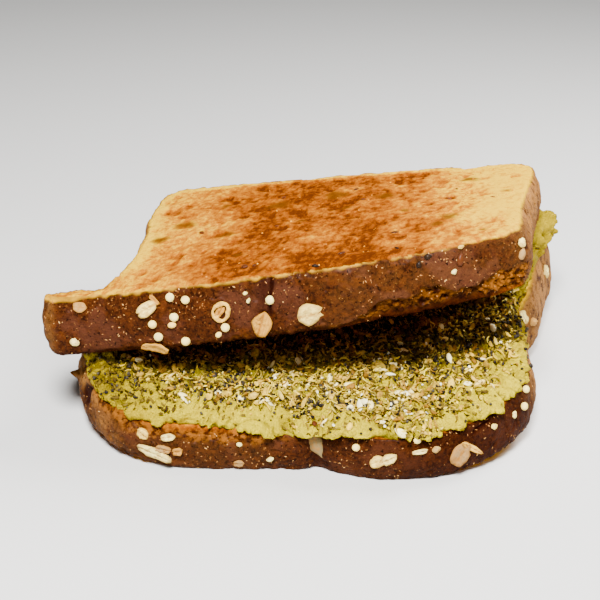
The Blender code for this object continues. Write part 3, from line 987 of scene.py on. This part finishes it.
def sprinkling_tree():
    tree = bpy.data.node_groups.new("Sprinkle", "GeometryNodeTree")
    sockets = [("Surface", "Geometry"), ("Kind", "Collection"), ("Per Square Centimetre", "Float"),
               ("Where", "String"), ("Smallest", "Float"), ("Largest", "Float"), ("Tilt", "Float"),
               ("Lift", "Float"), ("Seed", "Int"), ("Finish", "Material")]
    for label, kind_of in sockets:
        tree.interface.new_socket(label, in_out="INPUT", socket_type="NodeSocket" + kind_of)
    tree.interface.new_socket("Sprinkled", in_out="OUTPUT", socket_type="NodeSocketGeometry")
    given = tree.nodes.new("NodeGroupInput").outputs
    out = tree.nodes.new("NodeGroupOutput").inputs
    where = add(tree, "GeometryNodeInputNamedAttribute", {"Name": given["Where"]}, data_type="FLOAT")
    per_metre = add(tree, "ShaderNodeMath", {0: given["Per Square Centimetre"], 1: 1e4}, operation="MULTIPLY")
    density = add(tree, "ShaderNodeMath", {0: per_metre.outputs[0], 1: where.outputs["Attribute"]},
                  operation="MULTIPLY")
    spread = {"Mesh": given["Surface"], "Density": density.outputs[0], "Seed": given["Seed"]}
    dots = add(tree, "GeometryNodeDistributePointsOnFaces", spread, distribute_method="RANDOM")
    tilt_back = add(tree, "ShaderNodeMath", {0: given["Tilt"], 1: -1.0}, operation="MULTIPLY")
    low = add(tree, "ShaderNodeCombineXYZ", {0: tilt_back.outputs[0], 1: tilt_back.outputs[0], 2: -math.pi})
    high = add(tree, "ShaderNodeCombineXYZ", {0: given["Tilt"], 1: given["Tilt"], 2: math.pi})
    turn = add(tree, "FunctionNodeRandomValue",
               {0: low.outputs[0], 1: high.outputs[0], "Seed": given["Seed"]}, data_type="FLOAT_VECTOR")
    turned = add(tree, "FunctionNodeEulerToRotation", {0: turn.outputs[0]})
    rotation = add(tree, "FunctionNodeRotateRotation", {"Rotation": dots.outputs["Rotation"],
                                                        "Rotate By": turned.outputs[0]}, rotation_space="LOCAL")
    size = add(tree, "FunctionNodeRandomValue",
               {2: given["Smallest"], 3: given["Largest"], "Seed": given["Seed"]}, data_type="FLOAT")
    shapes = add(tree, "GeometryNodeCollectionInfo",
                 {"Collection": given["Kind"], "Separate Children": True, "Reset Children": True})
    copies = add(tree, "GeometryNodeInstanceOnPoints",
                 {"Points": dots.outputs["Points"], "Instance": shapes.outputs[0], "Pick Instance": True,
                  "Rotation": rotation.outputs[0], "Scale": size.outputs[1]})
    share = add(tree, "FunctionNodeRandomValue", {2: 0.0, 3: 1.0, "Seed": 5}, data_type="FLOAT")
    lift = add(tree, "ShaderNodeMath", {0: given["Lift"], 1: share.outputs[1]}, operation="MULTIPLY")
    offset = add(tree, "ShaderNodeCombineXYZ", {2: lift.outputs[0]})
    lifted = add(tree, "GeometryNodeTranslateInstances",
                 {"Instances": copies.outputs[0], "Translation": offset.outputs[0], "Local Space": False})
    tint = add(tree, "FunctionNodeRandomValue", {2: 0.0, 3: 1.0, "Seed": 9}, data_type="FLOAT")
    tinted = add(tree, "GeometryNodeStoreNamedAttribute",
                 {"Geometry": lifted.outputs[0], "Name": "tint", "Value": tint.outputs[1]},
                 data_type="FLOAT", domain="INSTANCE")
    real = add(tree, "GeometryNodeRealizeInstances", {"Geometry": tinted.outputs[0]})
    finished = add(tree, "GeometryNodeSetMaterial", {"Geometry": real.outputs[0], "Material": given["Finish"]})
    tree.links.new(finished.outputs[0], out["Sprinkled"])
    return tree


sprinkle = sprinkling_tree()
SOCKETS = {item.name: item.identifier for item in sprinkle.interface.items_tree if item.in_out == "INPUT"}


def sprinkled(name, surface, **values):
    """A piece of its own: the copies that the tree puts on a surface, as one plain mesh."""
    piece = bpy.data.objects.new(name, surface.data.copy())
    scene.collection.objects.link(piece)
    modifier = piece.modifiers.new("sprinkle", "NODES")
    modifier.node_group = sprinkle
    for label, value in values.items():
        modifier[SOCKETS[label.replace("_", " ").title()]] = value
    evaluated_mesh(piece)
    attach(piece, "root")
    print(name, len(piece.data.polygons), "faces")
    return piece


# %% [markdown]
# ## Finishes for the seasoning
# All the dry bits share one recipe: each copy's tint picks a colour between a few that the kind really has,
# and a fine grain darkens and roughens it. Poppy seeds are black to grey-brown, sesame is ivory, dried garlic and
# onion go from cream to gold and brown, and the herbs have faded to straw, olive and brown.

# %% Seasoning finishes


def dry_finish(name, colours, roughness, grain_size=0.4, depth=0.08, dark=0.25, shade=(0.05, 0.02, 0.0),
               veined=0.0):
    """The colours are spread over the copies by their tint, in order; veined flakes are striped, with painted
    shade in the crease.
    """
    material, tree, shader, place = finish_named(name, roughness, {"Specular IOR Level": 0.06})
    ramp_node = add(tree, "ShaderNodeValToRGB", {"Fac": kept(tree, "tint")})
    ramp = ramp_node.color_ramp
    while len(ramp.elements) < len(colours):
        ramp.elements.new(0.5)
    for k, colour in enumerate(colours):
        ramp.elements[k].position = k / (len(colours) - 1)
        ramp.elements[k].color = (*colour, 1)
    patches = grouped(tree, mottle, {"Place": place, "Size": grain_size, "Low": 0.42, "High": 0.62})["Mask"]
    browned = math_node(tree, "MAXIMUM", patches, stretched(tree, kept(tree, "outer"), 0.6, 1.0))
    colour = blended(tree, math_node(tree, "MULTIPLY", browned, dark), ramp_node.outputs["Color"], (*shade, 1))
    height = grouped(tree, grain, {"Place": place, "Size": grain_size})["Height"]
    if veined:
        wavy = math_node(tree, "ADD", kept(tree, "near_crease"), stretched(tree, height, 0.3, 0.7, -0.08, 0.08))
        stripes = math_node(tree, "SINE", math_node(tree, "MULTIPLY", wavy, 24.0))
        thin_veins = stretched(tree, stripes, 0.1, 1.0, 0.0, 0.45)
        # The crease is darkened as painted shade; the thin stripes are the flake's own veins
        veins_and_crease_shade = math_node(tree, "MAXIMUM", stretched(tree, wavy, 0.80, 0.98), thin_veins)
        veins_and_crease_shade = math_node(tree, "MULTIPLY", veins_and_crease_shade, stretched(tree, kept(tree, "near_crease"), 0.0, 0.05))
        colour = blended(tree, math_node(tree, "MULTIPLY", veins_and_crease_shade, veined), colour, (*shade, 1))
    tree.links.new(colour, shader.inputs["Base Color"])
    bumped(tree, shader, height, depth)
    return material


FINISHES = {
    "poppy": dry_finish("poppy", [(0.006, 0.005, 0.005), (0.020, 0.017, 0.013), (0.060, 0.052, 0.038),
                                  (0.015, 0.009, 0.006)], 0.5),
    "sesame": dry_finish("sesame", [(0.95, 0.68, 0.16), (1.0, 0.84, 0.32), (1.0, 0.92, 0.52)],
                         0.5, 1.2, 0.05, 0.1),
    "garlic": dry_finish("garlic", [(0.55, 0.33, 0.02), (1.0, 0.72, 0.05), (0.16, 0.075, 0.006),
                                    (1.0, 0.80, 0.16), (0.40, 0.25, 0.012), (0.80, 0.58, 0.03)], 0.6),
    "onion": dry_finish("onion", [(0.50, 0.27, 0.02), (0.86, 0.58, 0.05), (0.18, 0.085, 0.006),
                                  (0.40, 0.19, 0.012), (1.0, 0.78, 0.14)], 0.5, 1.0, 0.12, 0.40),
    "herb": dry_finish("herb", [(0.85, 0.58, 0.04), (0.42, 0.26, 0.012), (0.08, 0.046, 0.004), (1.0, 0.78, 0.08),
                                (0.05, 0.032, 0.003), (0.38, 0.26, 0.012), (0.72, 0.47, 0.02)], 0.7),
    "leaf": dry_finish("leaf", [(0.08, 0.050, 0.005), (0.17, 0.115, 0.009), (0.03, 0.015, 0.004)], 0.7),
    "salt": dry_finish("salt", [(1.0, 0.90, 0.52), (1.0, 0.95, 0.72)], 0.4, 0.6, 0.04, 0.0),
    "bran": dry_finish("bran", [(0.46, 0.19, 0.05), (0.25, 0.085, 0.02), (0.70, 0.38, 0.12)], 0.7),
}
print("seasoning finishes:", list(FINISHES))

# %% [markdown]
# ## Grains baked into the crusts
# The dough was rolled in grains, so each crust carries millet, oat flakes, husks and dark seeds, baked in and
# nearly flush. The largest ones each have their own place: a ray from outside finds the crust at a given height
# share, and the grain is turned to lie flat on it. Three seeds lie on top, two on the toasted face and one on the
# spread, and a ray from above finds them. The rows that say where are the least tidy part of this script: their
# places were mostly measured beforehand by another script, and only sizes, turns and tints were chosen by hand.

# %% Finishes of the grains
BAKED = (0.34, 0.13, 0.010)
FINISHES["oat"] = dry_finish("oat", [(0.74, 0.34, 0.04), (0.30, 0.19, 0.08), (1.0, 0.68, 0.13),
                                     (1.0, 0.84, 0.28)], 0.6, 1.1, 0.45, 0.55, BAKED, 0.5)
FINISHES["husk"] = dry_finish("husk", [(0.20, 0.140, 0.055), (0.42, 0.17, 0.02), (0.86, 0.50, 0.08)],
                              0.5, 0.9, 0.30, 0.5, BAKED, 0.9)
FINISHES["millet"] = dry_finish("millet", [(1.0, 0.60, 0.10), (1.0, 0.82, 0.26)],
                                0.5, 1.2, 0.03, 0.3, BAKED)
FINISHES["seed"] = dry_finish("seed", [(0.012, 0.007, 0.005), (0.13, 0.030, 0.006)], 0.28, 0.5, 0.03, 0.2)
print("crust finishes: oat, husk, millet, seed")

# %% Rows of placed grains
# Each row: slice, side, place along the side, height share, length, width, thickness, turn, tint.
# On top, the two places are x and y instead. Places come mostly from another script's measuring.
MILLET = [
    ("upper", "front", -26.7, 0.87, 1.9, 1.9, 1.7, 0, 0.9),
    ("upper", "front", -23.2, 0.81, 1.9, 1.8, 1.7, 0, 0.7),
    ("upper", "front", -25.8, 0.56, 2.0, 1.9, 1.7, 0, 1.0),
    ("upper", "front", -30.5, 0.48, 1.9, 1.8, 1.6, 0, 0.6),
    ("upper", "front", -26.2, 0.44, 1.9, 1.3, 1.5, 10, 0.2),
    ("upper", "front", -29.3, 0.27, 2.0, 1.9, 1.7, 0, 0.9),
    ("upper", "front", -23.4, 0.14, 2.0, 2.0, 1.8, 0, 0.8),
    ("upper", "front", -14.8, 0.29, 1.9, 1.9, 1.7, 0, 0.9),
    ("upper", "front", -16.3, 0.18, 1.5, 1.2, 1.2, 40, 0.6),
    ("upper", "front", -5.1, 0.63, 2.0, 1.9, 1.7, 0, 1.0),
    ("lower", "front", 14.4, 0.79, 1.7, 1.6, 1.5, 0, 0.7),
    ("lower", "front", 49.3, 0.60, 1.9, 1.8, 1.5, 0, 0.6),
    ("lower", "right", -28.0, 0.79, 1.9, 1.7, 1.5, 0, 0.9),
    ("lower", "front", 26.8, 0.93, 1.6, 1.4, 1.3, 0, 0.8),
    ("upper", "left", 5.0, 0.40, 1.9, 1.8, 1.6, 0, 0.8),
]
BITS = [
    ("upper", "front", -10.5, 0.78, 1.1, 0.8, 0.7, 20, 0.9),
    ("upper", "front", -9.8, 0.67, 1.2, 0.8, 0.7, 70, 1.0),
    ("upper", "front", -48.5, 0.30, 2.2, 1.8, 1.0, -20, 1.0),
    ("upper", "front", 32.6, 0.63, 1.3, 1.1, 0.8, 30, 1.0),
    ("upper", "front", 33.7, 0.95, 1.5, 0.9, 0.8, 15, 0.6),
    ("upper", "front", 46.2, 0.78, 2.3, 1.9, 1.2, 40, 0.9),
    ("upper", "front", 46.5, 0.63, 2.6, 1.7, 1.0, 60, 0.3),
    ("lower", "front", -10.5, 0.67, 1.3, 1.1, 0.8, 0, 1.0),
    ("lower", "front", -4.1, 0.34, 1.7, 1.2, 0.8, 20, 1.0),
    ("lower", "front", 42.7, 0.72, 1.6, 1.2, 0.8, 0, 0.8),
    ("lower", "front", 47.2, 0.64, 1.7, 1.3, 0.9, 50, 1.0),
    ("lower", "front", 30.9, 0.70, 2.0, 1.4, 0.8, 10, 0.4),
    ("lower", "right", 11.5, 0.62, 2.6, 2.2, 2.2, 0, 0.2),
]
FLAKES = [
    ("upper", "front", 3.1, 0.34, 5.7, 5.3, 0.75, 15, 0.80),
    ("upper", "front", -31.8, 0.74, 4.6, 3.0, 1.0, 35, 0.85),
    ("upper", "front", -47.3, 0.84, 3.0, 2.2, 0.5, 0, 0.25),
    ("lower", "front", -31.5, 0.68, 2.9, 2.2, 0.8, -25, 0.70),
    ("lower", "front", -25.7, 0.73, 3.2, 1.7, 0.7, 10, 1.0),
    ("lower", "front", -28.9, 0.33, 8.4, 2.8, 0.7, -15, 1.0),
    ("lower", "front", -27.0, 0.46, 3.4, 1.9, 0.9, -5, 0.30),
    ("lower", "front", -23.7, 0.46, 2.6, 1.9, 0.8, 20, 0.10),
    ("lower", "front", -10.9, 0.19, 2.4, 1.6, 0.6, 0, 0.30),
    ("lower", "front", 18.9, 0.53, 3.2, 2.7, 0.8, 20, 0.75),
    ("lower", "front", 21.4, 0.59, 3.5, 2.3, 0.8, 25, 0.90),
    ("lower", "front", 27.6, 0.71, 3.6, 1.1, 0.5, 8, 1.0),
    ("lower", "front", 35.9, 0.46, 5.3, 4.3, 0.8, 55, 0.30),
    ("lower", "right", 34.6, 0.85, 3.6, 3.2, 0.8, 90, 1.0),
    ("lower", "right", 8.0, 0.90, 3.4, 2.6, 0.9, 90, 1.0),
]
HUSKS = [
    ("upper", "front", -30.2, 0.86, 3.2, 1.2, 0.4, -35, 0.6),
    ("upper", "front", -30.1, 0.08, 6.2, 2.6, 0.6, -4, 0.85),
    ("lower", "front", 38.0, 0.53, 5.2, 1.3, 0.5, -35, 1.0),
    ("upper", "front", -15.8, 0.56, 2.6, 1.6, 0.7, 60, 0.6),
    ("upper", "front", -7.0, 0.29, 5.8, 4.3, 1.2, 75, 0.7),
]
SEEDS = [
    ("upper", "front", 27.1, 0.90, 1.7, 1.3, 0.9, 20, 0.0),
    ("upper", "front", 25.3, 0.82, 1.6, 1.2, 0.9, 70, 0.0),
    ("upper", "front", 33.7, 0.78, 2.7, 1.6, 1.1, 80, 0.55),
    ("lower", "right", -16.0, 0.75, 1.7, 1.2, 0.9, 0, 0.0),
    ("upper", "top", -12.3, -31.0, 2.2, 1.5, 0.9, 75, 0.4),
    ("upper", "top", 3.8, -36.8, 1.8, 1.2, 0.8, 5, 0.0),
    ("spread", "top", 5.2, -48.2, 2.6, 1.7, 1.0, 70, 0.55),
]
HUSK_IN_SPLIT = [("lower", "front", 5.6, 0.62, 6.4, 4.0, 1.3, -62, 0.0)]
HOLLOW_HUSK = [("upper", "front", -15.6, 0.55, 5.2, 3.8, 1.1, 62, 0.9)]
print(sum(len(rows) for rows in (MILLET, BITS, FLAKES, HUSKS, SEEDS)), "rows")

# %% Placing the grains
SIDES = {"front": (0, 1), "left": (1, 0), "right": (-1, 0)}  # the way a ray from that side goes
graph = bpy.context.evaluated_depsgraph_get()
crust_trees = {key: BVHTree.FromObject(piece, graph)
               for key, piece in {**bread, "spread": avocado_piece}.items()}


def on_crust(key, side, along, share):
    """Where the crust is, in metres, and which way it faces."""
    heading = np.array(SIDES[side], float)
    points, facing = facts[key]["points"], facts[key]["facing"]
    beside = np.abs(points[:, :2] @ (1 - np.abs(heading)) - along) < 1.0
    spot = points[beside & (facing[:, :2] @ heading < -0.5)][:, :2].mean(axis=0)
    low, high = (height_at(facts[key][face], *spot) for face in ("under", "top"))
    hit = None
    while hit is None:
        origin = Vector((*(spot - 20 * heading), low + share * (high - low))) * MM
        hit, normal = crust_trees[key].ray_cast(origin, Vector((*heading, 0)))[:2]
        share += 0.04 if share < 0.5 else -0.04
    for shift in ((0.9, 0.0), (-0.9, 0.0), (0.0, 0.9), (0.0, -0.9)):
        beside = origin + Vector((-heading[1] * shift[0], heading[0] * shift[0], shift[1])) * MM
        found_normal = crust_trees[key].ray_cast(beside, Vector((*heading, 0)))[1]
        normal = normal + (found_normal or normal)
    return hit, normal.normalized()


def on_top(key, x, y):
    """Where a ray from above meets a piece, in metres, and which way it faces."""
    return crust_trees[key].ray_cast(Vector((x, y, 60.0)) * MM, Vector((0, 0, -1)))[:2]


def placed(name, rows, make, finish, sunk):
    """One piece of all the rows' grains, each turned to lie on its crust."""
    joined = bmesh.new()
    for k, (key, side, along, share, length, width, thick, turn, tint) in enumerate(rows):
        mesh = make(f"{name}_{k}", length, width, thick, 200 + 10 * k)
        keep_values(mesh, "tint", np.full(len(mesh.vertices), tint))
        hit, normal = on_top(key, along, share) if side == "top" else on_crust(key, side, along, share)
        across = Vector((0, 1, 0) if side == "top" else (0, 0, 1)).cross(normal).normalized()
        lying = Matrix((across, normal.cross(across), normal)).transposed().to_4x4()
        centre = hit + normal * thick * (0.5 - sunk) * MM
        mesh.transform(Matrix.Translation(centre) @ lying @ Matrix.Rotation(math.radians(turn), 4, "Z"))
        joined.from_mesh(mesh)
        bpy.data.meshes.remove(mesh)
    mesh = bpy.data.meshes.new(name)
    joined.to_mesh(mesh)
    joined.free()
    mesh.materials.append(finish)
    mesh.shade_smooth()
    piece = bpy.data.objects.new(name, mesh)
    scene.collection.objects.link(piece)
    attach(piece, "root")
    print(name, len(rows), "placed,", len(mesh.polygons), "faces")
    return piece


def millet_grain(name, length, width, thick, seed):
    return kernel(name, length, width, thick, seed, 0.0, 0.03, 14, 9)


def oat_bit(name, length, width, thick, seed):
    return kernel(name, length, width, thick, seed, 0.2, 0.22, 9, 7)


def oat_flake(name, length, width, thick, seed):
    return chip(name, length, width, thick, seed, 0.10, 0.13, 20, 4, 0.35)


def husk(name, length, width, thick, seed):
    return chip(name, length, width, thick, seed, 0.25, 0.22, 16, 4, 0.5)


def pointed_husk(name, length, width, thick, seed):
    return kernel(name, length, width, thick, seed, 0.75, 0.10, 12, 9)


def flax(name, length, width, thick, seed):
    return kernel(name, length, width, thick, seed, 0.5, 0.04, 12, 9)


placed("millet_on_crust", MILLET, millet_grain, FINISHES["millet"], 0.25)
placed("oat_bits_on_crust", BITS, oat_bit, FINISHES["oat"], 0.25)
placed("oat_flakes_on_crust", FLAKES, oat_flake, FINISHES["oat"], 0.10)
placed("husks_on_crust", HUSKS, husk, FINISHES["husk"], 0.10)
placed("husk_in_split", HUSK_IN_SPLIT, pointed_husk, FINISHES["husk"], 0.35)
placed("seeds_on_crust", SEEDS, flax, FINISHES["seed"], 0.25)
placed("hollow_husk_on_crust", HOLLOW_HUSK, hoop, FINISHES["husk"], 0.2)

# %% [markdown]
# ## Bran and grains all round
# Fine bran roughens both crusts everywhere. The sides and the back, which have no placed grains, get a random
# scattering of the same millet and flakes. The toasted faces carry a few dark seeds, some sunk into them, and
# golden crumbs.

# %% Scattered on the bread
KINDS["millet"] = kind("millet", [kernel(f"millet_{i}", 1.9, 1.85, 1.4, 90 + i, 0.0, 0.03, 10, 6)
                                  for i in range(2)])
KINDS["flake"] = kind("flake", [chip(f"flake_{i}", 3.0 + i, 2.2 + 0.6 * i, 0.7, 95 + i, 0.1, 0.18, 12, 3, 0.3)
                                for i in range(3)])
KINDS["flax"] = kind("flax", [kernel(f"flax_{i}", 2.2, 1.3, 0.8, 100 + i, 0.5, 0.05, 9, 6) for i in range(2)])
KINDS["crumb"] = kind("crumb", [kernel(f"crumb_{i}", 0.9, 0.7, 0.6, 105 + i, 0.0, 0.35, 6, 5, False)
                                for i in range(3)])
FINISHES["crumb"] = dry_finish("crumb", [(0.80, 0.30, 0.01), (0.35, 0.09, 0.005), (0.90, 0.42, 0.03)], 0.8)
for key, piece in bread.items():
    found = facts[key]
    points, facing = places(piece.data), normals(piece.data)
    on_side = found["crust"] * smooth_step(0.15, 0.3, found["share"]) * smooth_step(0.85, 0.7, found["share"])
    away_from_front = smooth_step(-26, -18, points[:, 1]) * smooth_step(0.3, -0.1, facing[:, 0])
    keep_values(piece.data, "bran_here", found["crust"] * np.clip(0.6 + noise(points, 6, 111), 0.1, 1))
    keep_values(piece.data, "grains_here", on_side * away_from_front)
    on_face = smooth_step(0.85, 0.95, facing[:, 2]) * smooth_step(2, 4, found["edge"]) * (key == "upper")
    keep_values(piece.data, "seeds_here", on_face)
    keep_values(piece.data, "crumbs_here", on_face * np.clip(0.4 + noise(points, 9, 112), 0, 1))
    for name, values in {
        "bran": dict(kind=KINDS["bran"], per_square_centimetre=36.0, where="bran_here", smallest=0.2, largest=0.7,
                     tilt=0.35, lift=0.0, seed=11, finish=FINISHES["bran"]),
        "millet": dict(kind=KINDS["millet"], per_square_centimetre=0.9, where="grains_here", smallest=0.8,
                       largest=1.05, tilt=0.3, lift=0.0, seed=12, finish=FINISHES["millet"]),
        "flakes": dict(kind=KINDS["flake"], per_square_centimetre=0.45, where="grains_here", smallest=0.7,
                       largest=1.1, tilt=0.08, lift=0.0, seed=13, finish=FINISHES["oat"]),
    }.items():
        sprinkled(f"{name}_on_{key}_crust", piece, **values)
sprinkled("seeds_on_toast", bread["upper"], kind=KINDS["flax"], per_square_centimetre=0.2, where="seeds_here",
          smallest=0.6, largest=1.1, tilt=0.12, lift=0.0, seed=14, finish=FINISHES["seed"])
sprinkled("crumbs_on_toast", bread["upper"], kind=KINDS["crumb"], per_square_centimetre=4.0, where="crumbs_here",
          smallest=0.2, largest=0.7, tilt=1.5, lift=0.0, seed=15, finish=FINISHES["crumb"])

# %% [markdown]
# ## Where the seasoning lies
# It lies thick over the middle and deep into the gap, thins out towards the bare front edge and the sides, and
# forms clusters: dark poppy towards the back right and in small clumps near the front, curled herbs in front of
# the middle. These fields are
# stored on the spread, one number for each kind of likelihood.

# %% Seasoning fields
BARE_X = [-46, -38, -28, -10, 0, 4, 20, 30, 42, 48]  # along the spread
BARE_WIDTH = [2.0, 4.5, 4.2, 2.6, 0.6, 0.0, -1.0, -1.0, 1.0, 1.0]  # the bare rim there
SEASONING_BACK_Y = 10.0
POPPY_CLUSTERS = [  # place, radius and how dense
    (2.0, -43, 2.2, 0.9), (9.5, -41, 2.2, 0.9), (-36, -40, 5, 0.5), (30, -28, 7, 0.5), (-17, -36, 5, 0.8),
    (20, -42, 2.5, 0.9),
]

points, facing = places(avocado_piece.data), normals(avocado_piece.data)
x, y = points[:, 0], points[:, 1]
bare = np.interp(x, BARE_X, BARE_WIDTH) + bumps(points, 5, 1.6, 61, 2)
back = SEASONING_BACK_Y + 12 * smooth_step(32, 40, x)
open_face = smooth_step(0.10, 0.45, facing[:, 2]) * smooth_step(back + 4, back, y)
thick = open_face * smooth_step(bare - 0.8, bare + 2.2, spread_edge)
thick *= np.clip(0.8 + bumps(points, 5, 0.5, 62, 2), 0.1, 1)
thick *= 1 - 0.75 * smooth_step(-32, -42, x)
thick *= 1 - 0.45 * smooth_step(22, 40, x) * smooth_step(-14, -24, y)


def cluster(middle_x, middle_y, radius):
    return np.exp(-((x - middle_x) ** 2 + (y - middle_y) ** 2) / radius ** 2)


right_back = np.clip(1.1 * cluster(38, -6, 14) + 0.8 * cluster(24, -4, 14), 0, 1)
keep_values(avocado_piece.data, "thick", thick)
left_end = smooth_step(-34, -42, x) * open_face
# Painted shade: deep in the gap under the upper slice the spread takes the dust colour
deep = smooth_step(-32, -16, y) * smooth_step(40, 22, x)
# Painted shade on the left, where the upper slice shades the spread
left_dark = smooth_step(-12, -24, x) * smooth_step(-42, -36, y) * open_face
# Real herb dust, together with the painted shade of the gap and the left
dust = 0.4 * thick + deep + 0.8 * open_face * right_back + 0.4 * left_end + 0.45 * left_dark
keep_values(avocado_piece.data, "dust", np.clip(dust, 0, 0.95))
front_left = 0.45 * smooth_step(-18, -34, x)
# Dark leaf bits are added on the left as painted shade
thin = 0.10 + 0.7 * thick + 0.7 * right_back + 0.8 * cluster(-15, -37, 6) + front_left + 0.3 * left_dark
keep_values(avocado_piece.data, "thin", open_face * np.clip(thin, 0, 1))
clumps = cluster(2.0, -44, 2.0) + cluster(9.5, -41.5, 2.2) + cluster(20.5, -43.5, 1.8)
clumps += 0.5 * cluster(-15, -38, 4)
keep_values(avocado_piece.data, "clumps", open_face * np.clip(clumps, 0, 1))
poppies = 0.35 * thick + right_back
for poppy_x, poppy_y, radius, amount in POPPY_CLUSTERS:
    poppies = poppies + amount * cluster(poppy_x, poppy_y, radius)
poppies = poppies + 0.25 * left_end + 0.03
keep_values(avocado_piece.data, "poppies", open_face * np.clip(poppies, 0, 1))
keep_values(avocado_piece.data, "curls", thick * np.clip(0.35 + cluster(12, -36, 15), 0, 1))
keep_values(avocado_piece.data, "whites", thick * np.clip(0.25 + cluster(20, -38, 8) + cluster(2, -31, 7), 0, 1))

print("seasoning lies thick over", int((thick > 0.5).sum()), "points")

# %% Sprinkling the seasoning
SEASONING = {  # kind, pieces in a square centimetre, where, smallest, largest, tilt, lift in mm, seed
    "garlic_grains": ("garlic", 62.0, "thick", 0.3, 0.9, 1.2, 0.6, 1),
    "onion_flakes": ("onion", 20.0, "thick", 0.35, 0.8, 0.55, 1.3, 2),
    "herb_shreds": ("herb", 85.0, "curls", 0.5, 1.0, 0.5, 1.3, 3),
    "leaf_bits": ("leaf", 90.0, "thin", 0.3, 0.9, 0.7, 0.5, 4),
    "poppy_seeds": ("poppy", 48.0, "poppies", 0.55, 0.95, 1.5, 0.7, 5),
    "poppy_clumps": ("poppy", 170.0, "clumps", 0.55, 0.9, 1.5, 1.2, 8),
    "sesame_seeds": ("sesame", 8.0, "whites", 0.75, 1.1, 0.35, 0.9, 6),
    "salt_grains": ("salt", 8.0, "whites", 0.5, 1.0, 1.5, 1.4, 7),
}
for name, (of_kind, amount, where, smallest, largest, tilt, lift, seed) in SEASONING.items():
    sprinkled(name, avocado_piece, kind=KINDS[of_kind], per_square_centimetre=amount, where=where,
              smallest=smallest, largest=largest, tilt=tilt, lift=lift * MM, seed=seed, finish=FINISHES[of_kind])

# %% Sizes and last check
new_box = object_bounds()
growth = [(new_box[1][k] - new_box[0][k] - cad_box[1][k] + cad_box[0][k]) / MM for k in range(3)]
print("box grew by", [round(value, 2) for value in growth], "mm")
